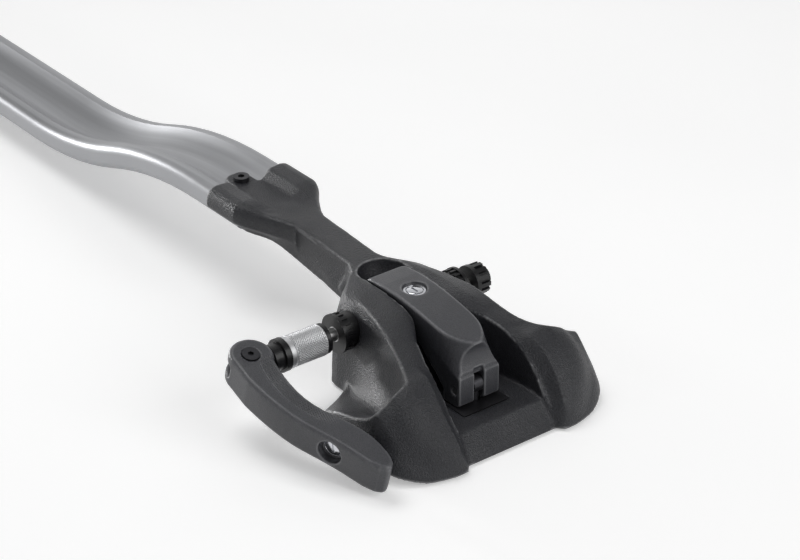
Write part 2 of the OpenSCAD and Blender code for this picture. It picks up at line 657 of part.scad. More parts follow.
module nut_washer() {
    color(black) on_bar() at_axle() difference() {
        x_rod(-washer_x, -nut_x, nut_d - 1);
        x_rod(-nut_x - cut, -washer_x + cut, skewer_d + 2 * fit);
    }
}

module adjuster_nut() {
    x0 = nut_x;
    x1 = nut_x + nut_l;
    color(steel) on_bar() at_axle() difference() {
        union() {
            x_rod(-x0, -x1, nut_d - 0.8);
            x_rod(-x0 - 0.8, -x1 + 4, nut_d);
            x_rod(-x1 + 3, -x1 + 0.6, nut_d);
        }
        x_rod(-x1 - cut, -x0 + cut, skewer_d + 2 * fit);
    }
}

module cam_collar() {
    x1 = collar_x + collar_l;
    color(black) on_bar() at_axle() difference() {
        union() {
            x_rod(-collar_x, -collar_x - 4, nut_d + 1);
            x_rod(-collar_x, -x1, nut_d - 3);
        }
        x_rod(-x1 - cut, -collar_x + cut, skewer_d + 2 * fit);
    }
}

// Frame of the skewer lever: X outwards to the left, Y along the lever, Z up its pivot
module in_lever() {
    at_axle() translate([-pivot_x, 0, 0]) rotate([lever_slope, 0, 0]) rotate([0, 0, 180]) children();
}

// How far the lever's tip is tucked in towards the wing, which it clears
lever_tuck = pivot_x - wing_half - 6.55;
// Middle line of the lever as knots [distance from the pivot, offset outwards, half width]
lever_knots = [[lever_len, -lever_tuck, 1], [lever_len - 3, -lever_tuck, 5], [106, -0.953 * lever_tuck,
    8.2],
    [90, -0.81 * lever_tuck, 10.7], [75, -0.535 * lever_tuck, 11.2], [60, -0.186 * lever_tuck, 10.4],
    [45, 0.5, 10], [30, 2.2, 10.8], [14, 2, 12.4], [0, 0, 13.4]];
lever_side = [18, 24, 30, 38, 45, 52, 60, 67, 75, 82, 90, 98, 106, 110, lever_len - 3, lever_len - 1,
    lever_len];
lever_head_arc = [224:-12:-4];
// Outline of the lever's plan, moved inwards by d: the round head, then the outer and the inner side
function lever_outline(d) = let (r = lever_head_r - d, s = 1 - d / 11) concat(
    [for (a = lever_head_arc) [r * cos(a) - lever_cam, -r * sin(a)]],
    [for (v = lever_side) lever_edge(v, d, s)],
    [for (i = [len(lever_side) - 1:-1:0]) lever_edge(lever_side[i], d, -s)]);
function lever_edge(v, d, s) = let (k = along(lever_knots, v)) [k[1] + s * k[2], v > 106 ? v - d : v];
// Edge rounding of the lever: [share of the half height, distance inwards]
edge_round = [[1, 2.2], [0.93, 0.8], [0.8, 0], [-0.8, 0], [-0.93, 0.8], [-1, 2.2]];

// Triangles over the lever's flat side: a fan over the head, then a strip from side to side
function lever_caps(n, m) = concat([for (t = fan(n - 2 * m + 1)) t], [[0, n - 2 * m, n - 1]],
    [for (i = [n - 2 * m:n - m - 2]) let (k = 2 * n - 2 * m - 1 - i) each [[i, i + 1, k - 1], [i,
        k - 1, k]]]);

module lever_blank() {
    rings = [for (e = edge_round) [for (p = lever_outline(e[1])) [p[0], p[1], e[0] * lever_h / 2]]];
    loft(rings, lever_caps(len(rings[0]), len(lever_side)));
}

// Place of the lock on the lever's outer face
lever_lock_u = along(lever_knots, lever_lock_v)[1] + along(lever_knots, lever_lock_v)[2];
lever_lock_turn = 24;
module at_lever_lock() {
    in_lever() translate([lever_lock_u, lever_lock_v, 0]) rotate([0, 0, lever_lock_turn]) rotate([0, 90, 0])
        children();
}

module skewer_lever() {
    color(black) on_bar() difference() {
        in_lever() difference() {
            lever_blank();
            // Room for the rod's eye, the pin and the lock
            translate([-lever_head_r - 6, -lever_head_r - 2, -eye_half - gap])
                cube([lever_head_r + 6 + lever_pin_d, lever_head_r + 2 + lever_pin_d + 4,
                    2 * (eye_half + gap)]);
            translate([0, -lever_head_r - 2, -eye_half - gap])
                cube([lever_head_r + 4, lever_head_r + 0.5, 2 * (eye_half + gap)]);
            translate([0, 0, -lever_h]) cylinder(d = lever_pin_d + 2 * fit, h = 2 * lever_h);
            translate([0, 0, lever_h / 2 - 1]) cylinder(d = lever_pin_head_d + 1, h = 4);
        }
        at_lever_lock() translate([0, 0, -lock_sink - lock_l]) cylinder(d = lock_d + 2 * fit,
            h = lock_l + 20);
    }
}

module lever_pin() {
    color(steel) on_bar() in_lever() difference() {
        union() {
            translate([0, 0, -lever_h / 2 + 1]) cylinder(d = lever_pin_d, h = lever_h - 1);
            translate([0, 0, lever_h / 2 - 1 + fit]) cylinder(d = lever_pin_head_d, h = 1.6);
        }
        translate([0, 0, lever_h / 2 - 1]) cylinder(d = 4, h = 4, $fn = 6);
    }
}

module lever_lock_barrel() {
    color(steel) on_bar() at_lever_lock() translate([0, 0, -lock_sink]) barrel();
}

module lever_lock_core() {
    color(steel) on_bar() at_lever_lock() translate([0, 0, -lock_sink]) core();
}

module rail_end_cap() {
    color(black) on_bar() translate([0, rail_end_y, rail_rear_z]) difference() {
        union() {
            translate([0, cap_l, 0]) rotate([90, 0, 0]) linear_extrude(cap_l) rail_profile(1.2);
            for (x = [-1, 1]) translate([x * (rail_w / 2 - rim_w / 2) - chamber / 2 + 0.8, -14,
                rail_h / 2 - 3])
                cube([chamber - 1.6, 15, 6]);
        }
    }
}

// Parts of the rear foot, in a frame with its origin at the foot's middle on the bar's top
module at_foot() {
    translate([0, foot_y, 0]) children();
}

module rear_foot() {
    top = rail_rear_z - gap;
    color(black) on_bar() at_foot() difference() {
        union() {
            translate([-rail_w / 2 - 5, -foot_l / 2, foot_pad_t]) cube([rail_w + 10, foot_l,
                top - foot_pad_t]);
            for (s = [-1, 1]) translate([s * (rail_w / 2 + 3), -foot_l / 2, foot_pad_t])
                translate([-2.2, 0, 0])
                cube([4.4, foot_l, top - foot_pad_t + 7]);
            translate([-foot_bolt_x, 0, foot_pad_t]) cylinder(d = 28, h = top - foot_pad_t);
            translate([-foot_bolt_x, -14, foot_pad_t]) cube([foot_bolt_x - rail_w / 2, 28,
                top - foot_pad_t]);
        }
        for (x = [0, -foot_bolt_x]) translate([x, 0, -cut]) cylinder(d = bolt_d, h = 40);
    }
}

module rear_slider() {
    z = rail_rear_z + rail_wall + gap / 2;
    color(steel) on_bar() at_foot() union() {
        translate([-slot_in / 2 + gap, -20, z]) cube([slot_in - 2 * gap, 40, slot_roof - rail_wall - gap]);
        translate([0, 0, rail_rear_z - 6]) cylinder(d = bolt_d, h = 6 + rail_wall + gap);
    }
}

module rear_pad() {
    color(rubber) on_bar() at_foot() difference() {
        translate([-rail_w / 2 - 3, -foot_l / 2 + 4, 0]) cube([rail_w + 6, foot_l - 8, foot_pad_t]);
        translate([-foot_bolt_x, 0, -cut]) cylinder(d = bolt_d + 10, h = foot_pad_t + 2 * cut);
    }
}

knob_z = rail_rear_z + gap;

module rear_bolt() {
    head_z = -bar_lip - t_head_t;
    color(steel) on_bar() at_foot() translate([-foot_bolt_x, 0, 0]) union() {
        translate([-t_head_w * 0.7, -t_head_w / 2, head_z]) cube([1.4 * t_head_w, t_head_w, t_head_t]);
        translate([0, 0, head_z]) cylinder(d = bolt_d, h = knob_z + knob_h * 0.7 - head_z);
    }
}

module rear_knob() {
    lobes = 5;
    color(black) on_bar() at_foot() translate([-foot_bolt_x, 0, knob_z]) difference() {
        union() {
            cylinder(d = knob_d * 0.45, h = knob_h);
            translate([0, 0, knob_h * 0.35]) intersection() {
                cylinder(d = knob_d, h = knob_h * 0.65);
                union() {
                    cylinder(d = knob_d * 0.72, h = knob_h * 0.65);
                    for (i = [0:lobes - 1]) rotate(360 * i / lobes) translate([knob_d * 0.36, 0, 0])
                        cylinder(d = knob_d * 0.3, h = knob_h * 0.65);
                }
            }
        }
        translate([0, 0, -cut]) cylinder(d = bolt_d + 2 * fit, h = knob_h * 0.75 + cut);
    }
}

// Parts of the wheel tray, in a frame with its origin on top of the rail's rims
tray_z = rail_rear_z + rail_h + gap;
module at_tray() {
    translate([0, tray_y, tray_z]) children();
}

strap_z = tray_h * 0.55;
strap_x = tray_w / 2 + 8;
anchor_d = 5;
buckle_pin_d = 4;
buckle_eye_d = 9;
buckle_x = strap_x + strap_t / 2 + 0.5 + buckle_eye_d / 2;
ear_t = 4;
ear_y = strap_w / 2 + 3 + gap;

// Section of the tray: a floor over the rail's rims and two flared sides that cradle the tyre
module tray_section() {
    half = tray_w / 2;
    foot = rail_w / 2;
    t = tray_wall;
    low = -rail_h - 2 * gap;
    side = [[half + t, tray_h - 1], [foot + 2 * t, -2], [foot + t + gap, -8], [foot + t + gap, low - t],
        [foot - 6, low - t], [foot - 6, low], [foot + gap, low], [foot + gap, 0]];
    top = [[foot - 12, t], [foot - 4, t + 2], [half, tray_h]];
    right = concat(top, side);
    polygon(concat(right, [for (i = [len(right) - 1:-1:0]) [-right[i][0], right[i][1]]]));
}

// Pair of ears that reach out from a side of the tray to a pin at x
module ears(x, bore) {
    s = sign(x);
    for (y = [-ear_y - ear_t, ear_y]) translate([0, y, 0]) difference() {
        union() {
            translate([s * (abs(x) + tray_w / 2 - 3) / 2 - (abs(x) - tray_w / 2 + 3) / 2, 0, strap_z - 6])
                cube([abs(x) - tray_w / 2 + 3, ear_t, 12]);
            translate([x, ear_t, strap_z]) rotate([90, 0, 0]) cylinder(d = 12, h = ear_t);
        }
        translate([x, ear_t + cut, strap_z]) rotate([90, 0, 0]) cylinder(d = bore, h = ear_t + 2 * cut);
    }
}

module wheel_tray() {
    end_z = tray_h * 0.4;
    top_l = tray_l * 0.2;
    color(black) on_bar() at_tray() union() {
        intersection() {
            translate([0, tray_l / 2, 0]) rotate([90, 0, 0]) linear_extrude(tray_l) tray_section();
            across(3 * tray_w) polygon([[-tray_l / 2, -2 * rail_h], [tray_l / 2, -2 * rail_h],
                [tray_l / 2, end_z],
                [top_l, tray_h + cut], [-top_l, tray_h + cut], [-tray_l / 2, end_z]]);
        }
        ears(-strap_x, anchor_d);
        ears(buckle_x, buckle_pin_d);
        // Rest behind the strap's tail
        translate([tray_w / 2 - 4, -strap_w / 2, strap_z - 8])
            cube([strap_x - strap_t / 2 - tray_w / 2 + 4, strap_w, 7]);
    }
}

// Closed strap: an arch over the tray from the eye on the left to the tail behind the buckle
module wheel_strap() {
    rise = tray_h + strap_rise - strap_z;
    r = (strap_x * strap_x + rise * rise) / (2 * rise);
    half_angle = asin(strap_x / r);
    color(rubber) on_bar() at_tray() translate([0, strap_w / 2, strap_z]) rotate([90, 0, 0]) difference() {
        union() {
            translate([0, rise - r, 0]) rotate_extrude(angle = 2 * half_angle, start = 90 - half_angle)
                translate([r - strap_t / 2, 0]) square([strap_t, strap_w]);
            translate([-strap_x, 0, 0]) cylinder(d = anchor_d + 2 * strap_t, h = strap_w);
            translate([strap_x - strap_t / 2, -8, 0]) cube([strap_t, 9, strap_w]);
        }
        translate([-strap_x, 0, -cut]) cylinder(d = anchor_d, h = strap_w + 2 * cut);
    }
}

module strap_anchor_pin() {
    color(steel) on_bar() at_tray() translate([-strap_x, 0, strap_z]) rotate([90, 0, 0])
        cylinder(d = anchor_d, h = 2 * (ear_y + ear_t), center = true);
}

module strap_buckle() {
    w = strap_w + 6;
    color(black) on_bar() at_tray() translate([buckle_x, 0, strap_z]) difference() {
        union() {
            translate([-2.5, -w / 2, 0]) cube([5, w, buckle_l - 6]);
            translate([-2.5, -w / 2, buckle_l - 8]) cube([9, w, 8]);
            rotate([90, 0, 0]) cylinder(d = buckle_eye_d, h = w, center = true);
        }
        rotate([90, 0, 0]) cylinder(d = buckle_pin_d + 2 * fit, h = 2 * w, center = true);
    }
}

module buckle_pin() {
    color(steel) on_bar() at_tray() translate([buckle_x, 0, strap_z]) rotate([90, 0, 0])
        cylinder(d = buckle_pin_d, h = 2 * (ear_y + ear_t), center = true);
}

head_housing();
saddle_pad();
axle_sleeve();
fork_seat_left();
fork_seat_right();
cam_plate();
tongue_screw();
clamp_bolt();
clamp_pin();
clamp_lever();
clamp_lock_barrel();
clamp_lock_core();
skewer_rod();
end_nut();
lever_pin();
nut_washer();
adjuster_nut();
cam_collar();
skewer_lever();
lever_lock_barrel();
lever_lock_core();
rail();
rail_end_cap();
rear_foot();
rear_slider();
rear_pad();
rear_bolt();
rear_knob();
wheel_tray();
wheel_strap();
strap_anchor_pin();
strap_buckle();
buckle_pin();
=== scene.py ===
"""Dresses the roof bike carrier: moulded plastic, extruded rail, knurled nut, locks, and a plain studio."""

import logging
import math
from collections.abc import Iterator
from contextlib import contextmanager
from dataclasses import dataclass, replace
from enum import Enum
from typing import Optional

import bpy
import numpy as np
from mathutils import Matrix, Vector


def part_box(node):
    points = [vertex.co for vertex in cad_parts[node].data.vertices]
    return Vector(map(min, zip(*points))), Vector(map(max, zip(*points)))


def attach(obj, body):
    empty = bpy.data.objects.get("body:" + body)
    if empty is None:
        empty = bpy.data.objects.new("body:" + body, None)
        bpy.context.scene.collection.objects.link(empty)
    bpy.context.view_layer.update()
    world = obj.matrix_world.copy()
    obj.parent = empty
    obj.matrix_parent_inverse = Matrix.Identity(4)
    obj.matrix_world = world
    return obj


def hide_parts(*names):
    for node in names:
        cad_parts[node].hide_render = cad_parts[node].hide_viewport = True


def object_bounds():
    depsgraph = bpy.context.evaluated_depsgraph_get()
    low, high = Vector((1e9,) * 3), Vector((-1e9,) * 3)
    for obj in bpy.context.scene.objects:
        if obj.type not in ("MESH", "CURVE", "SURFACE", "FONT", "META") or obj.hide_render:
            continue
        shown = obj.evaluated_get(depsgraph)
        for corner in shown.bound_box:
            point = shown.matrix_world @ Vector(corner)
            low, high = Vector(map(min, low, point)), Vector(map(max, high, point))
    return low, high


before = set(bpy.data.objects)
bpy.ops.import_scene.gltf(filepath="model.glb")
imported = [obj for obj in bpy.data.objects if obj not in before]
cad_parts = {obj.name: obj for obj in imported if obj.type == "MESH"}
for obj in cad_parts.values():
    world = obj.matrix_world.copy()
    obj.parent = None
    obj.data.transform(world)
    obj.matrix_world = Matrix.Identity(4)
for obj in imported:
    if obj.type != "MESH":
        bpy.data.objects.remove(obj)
CAD_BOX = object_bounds()

Rgb = tuple[float, float, float]
Point = tuple[float, float, float]
Span = tuple[float, float]
Ring = tuple[float, float, float, float]
Items = bpy.types.bpy_prop_collection
Piece = bpy.types.Object
Socket = bpy.types.NodeSocket
Tree = bpy.types.NodeTree
MM = 0.001
WHITE: Rgb = (1.0, 1.0, 1.0)
EDGE = "edge"
RIBS = "ribs"
RIB_SHARE = "rib_share"
WELD = 2e-6
SHORTEST = 1e-6
SMOOTHING = 0.5
EDGE_BLUR = 3
KNURL_CREASE = math.radians(15)
LOCK_CREASE = math.radians(35)
STRAP_CREASE = math.radians(40)
log = logging.getLogger("carrier")


class Body(Enum):
    """The bodies that new pieces ride on."""

    BASE = "base"
    CLAMP_LEVER = "clamp_lever"
    CLAMP_LOCK = "clamp_lock"
    ADJUSTER = "adjuster"
    SKEWER_LEVER = "skewer_lever"
    LEVER_LOCK = "lever_lock"
    REAR_FOOT = "rear_foot"
    REAR_KNOB = "rear_knob"
    WHEEL_TRAY = "wheel_tray"
    STRAP_BUCKLE = "strap_buckle"


class NodeSheet:
    """Shorthand for filling a node tree.

    A Mix node's factor, colours and result are found by place, because its sockets share their names.
    """

    MIX_INPUTS = (0, 6, 7)
    MIX_RESULT = 2

    def __init__(self, tree: Tree) -> None:
        """Wraps the node tree that gets the nodes."""
        self.tree = tree

    def put(self, slot: Socket, value: object) -> None:
        """Links a socket to an input, or sets the input's own value.

        Args:
            slot: The input.
            value: A socket, a number, a vector, or a colour as (r, g, b).
        """
        if isinstance(value, Socket):
            self.tree.links.new(value, slot)
        elif slot.type == "RGBA":
            slot.default_value = (*value, 1.0)
        else:
            slot.default_value = value

    def add(self, kind: str, **values: object) -> bpy.types.Node:
        """Adds a node and sets its inputs or settings.

        Args:
            kind: The node's type, without the ShaderNode prefix.
            values: Inputs by name with _ for a space, or node settings in lower case.

        Returns:
            The new node.
        """
        node = self.tree.nodes.new("ShaderNode" + kind)
        for key, value in values.items():
            if hasattr(node, key):
                setattr(node, key, value)
            else:
                self.put(node.inputs[key.replace("_", " ")], value)
        return node

    def math(self, operation: str, *values: object, clamp: bool = False) -> Socket:
        """Works out one sum.

        Args:
            operation: A Math node's operation.
            values: Its sockets and numbers, in order.
            clamp: Whether the result stays between 0 and 1.

        Returns:
            The result's socket.
        """
        node = self.add("Math", operation=operation, use_clamp=clamp)
        for slot, value in zip(node.inputs, values):
            self.put(slot, value)
        return node.outputs[0]

    def mix(self, share: object, a: object, b: object) -> Socket:
        """Blends two colours.

        Args:
            share: How much of b, as a socket or number.
            a: First colour, as a socket or (r, g, b).
            b: Second colour, as a socket or (r, g, b).

        Returns:
            The blended colour's socket.
        """
        node = self.add("Mix", data_type="RGBA")
        for index, value in zip(self.MIX_INPUTS, (share, a, b)):
            self.put(node.inputs[index], value)
        return node.outputs[self.MIX_RESULT]

    def ramp(self, value: Socket, low: float, high: float) -> Socket:
        """Stretches a value so that low becomes 0 and high becomes 1.

        Args:
            value: The socket to stretch.
            low: The value that becomes 0.
            high: The value that becomes 1.

        Returns:
            The stretched, clamped value's socket.
        """
        node = self.add(
            "MapRange", clamp=True, interpolation_type="SMOOTHSTEP", Value=value, From_Min=low, From_Max=high,
        )
        return node.outputs["Result"]


class Effect(Enum):
    """The shared surface effects, each a shader node group that is built once."""

    GRAIN = "moulded grain"
    HANDLING = "handling marks"
    # Painted highlight along convex edges, with some rubbed wear.
    WORN_EDGE = "painted edge highlight and wear"
    DRAWN_LINES = "drawn lines"

    def group(self) -> Tree:
        """Finds the effect's node group, or builds it.

        Returns:
            The node group.
        """
        found = bpy.data.node_groups.get(self.value)
        if found:
            return found
        tree = bpy.data.node_groups.new(self.value, "ShaderNodeTree")
        {
            Effect.GRAIN: build_grain,
            Effect.HANDLING: build_handling,
            Effect.WORN_EDGE: build_edge_highlight,
            Effect.DRAWN_LINES: build_drawn_lines,
        }[self](tree)
        return tree


def sockets(tree: Tree, inputs: dict[str, float], outputs: list[str]) -> tuple[NodeSheet, Items, Items]:
    """Gives a node group its sockets: a vector and the named values.

    Args:
        tree: The node group.
        inputs: The name of each input besides the vector, with its default.
        outputs: The names of the outputs, all values.

    Returns:
        The group's sheet, what it is given and the results that it has to fill, by name.
    """
    tree.interface.new_socket("Vector", in_out="INPUT", socket_type="NodeSocketVector")
    for name, value in inputs.items():
        made = tree.interface.new_socket(name, in_out="INPUT", socket_type="NodeSocketFloat")
        made.default_value = value
    for name in outputs:
        tree.interface.new_socket(name, in_out="OUTPUT", socket_type="NodeSocketFloat")
    return NodeSheet(tree), tree.nodes.new("NodeGroupInput").outputs, tree.nodes.new("NodeGroupOutput").inputs


def build_grain(tree: Tree) -> None:
    """Spark-eroded grain: soft pebbles of mixed size, as a height from 0 to 1.

    Args:
        tree: The empty node group.
    """
    pebble_fineness = 1.7
    coarse_share = 0.65
    sheet, given, result = sockets(tree, {"Scale": 1500.0}, ["Height"])
    coarse = sheet.add("TexNoise", Vector=given["Vector"], Scale=given["Scale"], Detail=2.0, Roughness=0.6)
    finer = sheet.math("MULTIPLY", given["Scale"], pebble_fineness)
    cells = sheet.add("TexVoronoi", feature="SMOOTH_F1", Vector=given["Vector"], Scale=finer)
    pebbles = sheet.ramp(cells.outputs["Distance"], low=0.1, high=0.8)
    fine = sheet.math("MULTIPLY", pebbles, 1.0 - coarse_share)
    sheet.put(result["Height"], sheet.math("MULTIPLY_ADD", coarse.outputs["Fac"], coarse_share, fine))


def build_handling(tree: Tree) -> None:
    """Broad soft patches where hands have polished a surface, and fine dust specks.

    Args:
        tree: The empty node group.
    """
    speck_fineness = 36.0
    sheet, given, result = sockets(tree, {"Scale": 25.0}, ["Patch", "Dust"])
    broad = sheet.add("TexNoise", Vector=given["Vector"], Scale=given["Scale"], Detail=3.0)
    specks = sheet.math("MULTIPLY", given["Scale"], speck_fineness)
    dust = sheet.add("TexNoise", Vector=given["Vector"], Scale=specks, Detail=1.0)
    sheet.put(result["Patch"], sheet.ramp(broad.outputs["Fac"], low=0.35, high=0.68))
    sheet.put(result["Dust"], sheet.ramp(dust.outputs["Fac"], low=0.66, high=0.78))


def build_edge_highlight(tree: Tree) -> None:
    """Mask of the painted highlight and wear on outer edges, from the edge attribute and broken up by noise.

    Args:
        tree: The empty node group.
    """
    least_share = 0.45
    noise_share = 0.8
    sheet, given, result = sockets(tree, {"Amount": 1.0}, ["Mask"])
    edge = sheet.add("Attribute", attribute_name=EDGE)
    noise = sheet.add("TexNoise", Vector=given["Vector"], Scale=90.0, Detail=3.0)
    share = sheet.math("MULTIPLY_ADD", noise.outputs["Fac"], noise_share, least_share)
    edge_highlight = sheet.math("MULTIPLY", edge.outputs["Fac"], share)
    sheet.put(result["Mask"], sheet.math("MULTIPLY", edge_highlight, given["Amount"], clamp=True))


def build_drawn_lines(tree: Tree) -> None:
    """Fine lines and broader streaks along Y, left on metal by an extrusion die, each from 0 to 1.

    Args:
        tree: The empty node group.
    """
    line_share = 1.0
    streak_share = 0.12
    sheet, given, result = sockets(tree, {"Across": 1600.0, "Along": 5.0}, ["Lines", "Streaks"])
    parts = sheet.add("SeparateXYZ", Vector=given["Vector"])
    along = sheet.math("MULTIPLY", parts.outputs["Y"], given["Along"])
    across = sheet.math("MULTIPLY", parts.outputs["X"], given["Across"])
    for name, share in (("Lines", line_share), ("Streaks", streak_share)):
        place = sheet.add("CombineXYZ", X=sheet.math("MULTIPLY", across, share), Y=along)
        noise = sheet.add("TexNoise", Vector=place.outputs["Vector"], Scale=1.0, Detail=2.0)
        sheet.put(result[name], noise.outputs["Fac"])


class Recipe:
    """A material in the making, with its shader and its shared effects."""

    def __init__(self, name: str) -> None:
        """Starts an empty material with a Principled shader.

        Args:
            name: The material's name.
        """
        self.material = bpy.data.materials.new(name)
        self.material.use_nodes = True
        self.sheet = NodeSheet(self.material.node_tree)
        self.shader = self.material.node_tree.nodes["Principled BSDF"]
        self.place = self.sheet.add("TexCoord").outputs["Object"]

    def effect(self, effect: Effect, **values: float) -> bpy.types.Node:
        """Places a shared effect on the piece's own coordinates, as a group node with these inputs."""
        return self.sheet.add("Group", node_tree=effect.group(), Vector=self.place, **values)

    def bump(self, height: Socket, distance: float, below: Optional[Socket] = None) -> Socket:
        """Turns a height into a normal.

        Args:
            height: The height, from 0 to 1.
            distance: How deep that is, in metres.
            below: A normal that this bump lies on.

        Returns:
            The normal's socket.
        """
        node = self.sheet.add("Bump", Strength=1.0, Distance=distance, Height=height)
        if below is not None:
            self.sheet.put(node.inputs["Normal"], below)
        return node.outputs["Normal"]

    def feed(self, **values: object) -> bpy.types.Material:
        """Sets or links the shader's inputs.

        Args:
            values: The inputs by name, with _ for a space.

        Returns:
            The finished material.
        """
        for key, value in values.items():
            self.sheet.put(self.shader.inputs[key.replace("_", " ")], value)
        return self.material


def finish_name(slot: str) -> str:
    """Names the material that dresses one of the record's slots."""
    return slot.replace("_", " ") + " finish"


def tinted(colour: Rgb, by: float) -> Rgb:
    """Multiplies a colour, to white at most."""
    return tuple(min(1.0, by * part) for part in colour)


@dataclass(frozen=True)
class MouldedPlastic:
    """Black moulded plastic: grained, a little polished by hands, with edges paled by painted highlight and
    wear, and perhaps ribs.

    Depths are in metres. The paler colour serves dust specks, handling patches and the painted edge highlight
    with wear. The last seven are the shares of dust, of handling and of the painted shade in the grain's
    hollows in the colour, that shade's tint, and how much patches, grain and edges change the roughness.
    """

    slot: str
    colour: Rgb
    dust_and_highlight: Rgb
    grain: float = 860.0
    depth: float = 0.00052
    roughness: float = 0.42
    edges: float = 1.0
    gloss: float = 0.45
    rib_depth: float = 0.0
    dust: float = 0.12
    handled: float = 0.03
    grain_shade_share: float = 0.6
    grain_shade_tint: float = 0.3
    patch_shine: float = 0.1
    grain_haze: float = 0.16
    edge_shine: float = 0.12

    def material(self) -> bpy.types.Material:
        """Builds the material.

        Returns:
            The material.
        """
        recipe = Recipe(finish_name(self.slot))
        sheet = recipe.sheet
        grain = recipe.effect(Effect.GRAIN, Scale=self.grain).outputs["Height"]
        marks = recipe.effect(Effect.HANDLING).outputs
        edge_highlight = recipe.effect(Effect.WORN_EDGE, Amount=self.edges).outputs["Mask"]
        pale = sheet.mix(sheet.math("MULTIPLY", marks["Dust"], self.dust), self.colour, self.dust_and_highlight)
        shaded = sheet.mix(sheet.math("MULTIPLY", marks["Patch"], self.handled), pale, self.dust_and_highlight)
        # Painted shade: the grain's hollows are darkened in the colour, standing in for the shade that the
        # grain casts.
        hollows = sheet.math("MULTIPLY", sheet.ramp(grain, low=0.56, high=0.32), self.grain_shade_share)
        grain_shaded = sheet.mix(hollows, shaded, tinted(self.colour, self.grain_shade_tint))
        # Painted highlight: convex edges are paled towards the paler colour, standing in for their highlight
        # lines, with some rubbed wear.
        colour = sheet.mix(edge_highlight, grain_shaded, self.dust_and_highlight)
        shine = sheet.math("MULTIPLY", sheet.math("SUBTRACT", marks["Patch"], 0.5), -self.patch_shine)
        haze = sheet.math("MULTIPLY_ADD", grain, self.grain_haze, shine)
        uneven = sheet.math("SUBTRACT", haze, sheet.math("MULTIPLY", edge_highlight, self.edge_shine))
        rough = sheet.math("ADD", uneven, self.roughness - self.grain_haze / 2)
        normal = recipe.bump(grain, self.depth)
        if self.rib_depth:
            ribs = sheet.add("Attribute", attribute_name=RIBS).outputs["Fac"]
            share = sheet.add("Attribute", attribute_name=RIB_SHARE).outputs["Fac"]
            wave = sheet.math("MULTIPLY", sheet.math("SINE", ribs), share)
            normal = recipe.bump(wave, self.rib_depth, normal)
        return recipe.feed(Base_Color=colour, Roughness=rough, Normal=normal, Specular_IOR_Level=self.gloss)


@dataclass(frozen=True)
class Aluminium:
    """Satin anodised extrusion with die lines along its length and dull patches.

    Haze is how far its roughness varies.
    """

    slot: str
    colour: Rgb
    roughness: float = 0.34
    haze: float = 0.14
    line_depth: float = 0.000012
    dull_tint: float = 0.86
    dull_share: float = 0.12

    def material(self) -> bpy.types.Material:
        """Builds the material.

        Returns:
            The material.
        """
        recipe = Recipe(finish_name(self.slot))
        sheet = recipe.sheet
        drawn = recipe.effect(Effect.DRAWN_LINES).outputs
        patch = recipe.effect(Effect.HANDLING, Scale=14.0).outputs["Patch"]
        dull = tinted(self.colour, self.dull_tint)
        streaked = sheet.mix(sheet.ramp(drawn["Streaks"], low=0.3, high=0.75), dull, self.colour)
        colour = sheet.mix(sheet.math("MULTIPLY", patch, self.dull_share), streaked, dull)
        rough = sheet.math("MULTIPLY_ADD", drawn["Lines"], self.haze, self.roughness - self.haze / 2)
        normal = recipe.bump(drawn["Lines"], self.line_depth)
        return recipe.feed(Base_Color=colour, Roughness=rough, Metallic=1.0, Normal=normal)


@dataclass(frozen=True)
class PatchyFinish:
    """A surface with faint marks, a patchy shine and edges paled by painted highlight and wear: plated metal,
    unless its fields differ.

    Haze is how far patches raise the roughness, and polish how much lower it is elsewhere.
    """

    slot: str
    colour: Rgb
    roughness: float
    metallic: float = 1.0
    gloss: float = 0.5
    marks: float = 2200.0
    depth: float = 0.00001
    patches: float = 60.0
    patch_tint: float = 0.75
    patch_share: float = 0.5
    haze: float = 0.1
    polish: float = 0.04
    edge_highlight_tint: float = 1.3
    edges: float = 0.5

    def material(self) -> bpy.types.Material:
        """Builds the material.

        Returns:
            The material.
        """
        recipe = Recipe(finish_name(self.slot))
        sheet = recipe.sheet
        grain = recipe.effect(Effect.GRAIN, Scale=self.marks).outputs["Height"]
        patch = recipe.effect(Effect.HANDLING, Scale=self.patches).outputs["Patch"]
        edge_highlight = recipe.effect(Effect.WORN_EDGE, Amount=self.edges).outputs["Mask"]
        share = sheet.math("MULTIPLY", patch, self.patch_share)
        patchy = sheet.mix(share, self.colour, tinted(self.colour, self.patch_tint))
        # Painted highlight: the edge mask pales the colour at convex edges, with some rubbed wear.
        return recipe.feed(
            Base_Color=sheet.mix(edge_highlight, patchy, tinted(self.colour, self.edge_highlight_tint)),
            Roughness=sheet.math("MULTIPLY_ADD", patch, self.haze, self.roughness - self.polish),
            Metallic=self.metallic,
            Specular_IOR_Level=self.gloss,
            Normal=recipe.bump(grain, self.depth),
        )


@dataclass(frozen=True)
class Rubber(PatchyFinish):
    """Matt black rubber, with a fine skin for marks, a dusty bloom for patches and no painted edge highlight
    or wear.
    """

    roughness: float = 0.75
    metallic: float = 0.0
    gloss: float = 0.4
    marks: float = 2600.0
    depth: float = 0.00005
    patches: float = 40.0
    patch_tint: float = 2.2
    patch_share: float = 0.3
    haze: float = 0.12
    polish: float = 0.06
    edges: float = 0.0


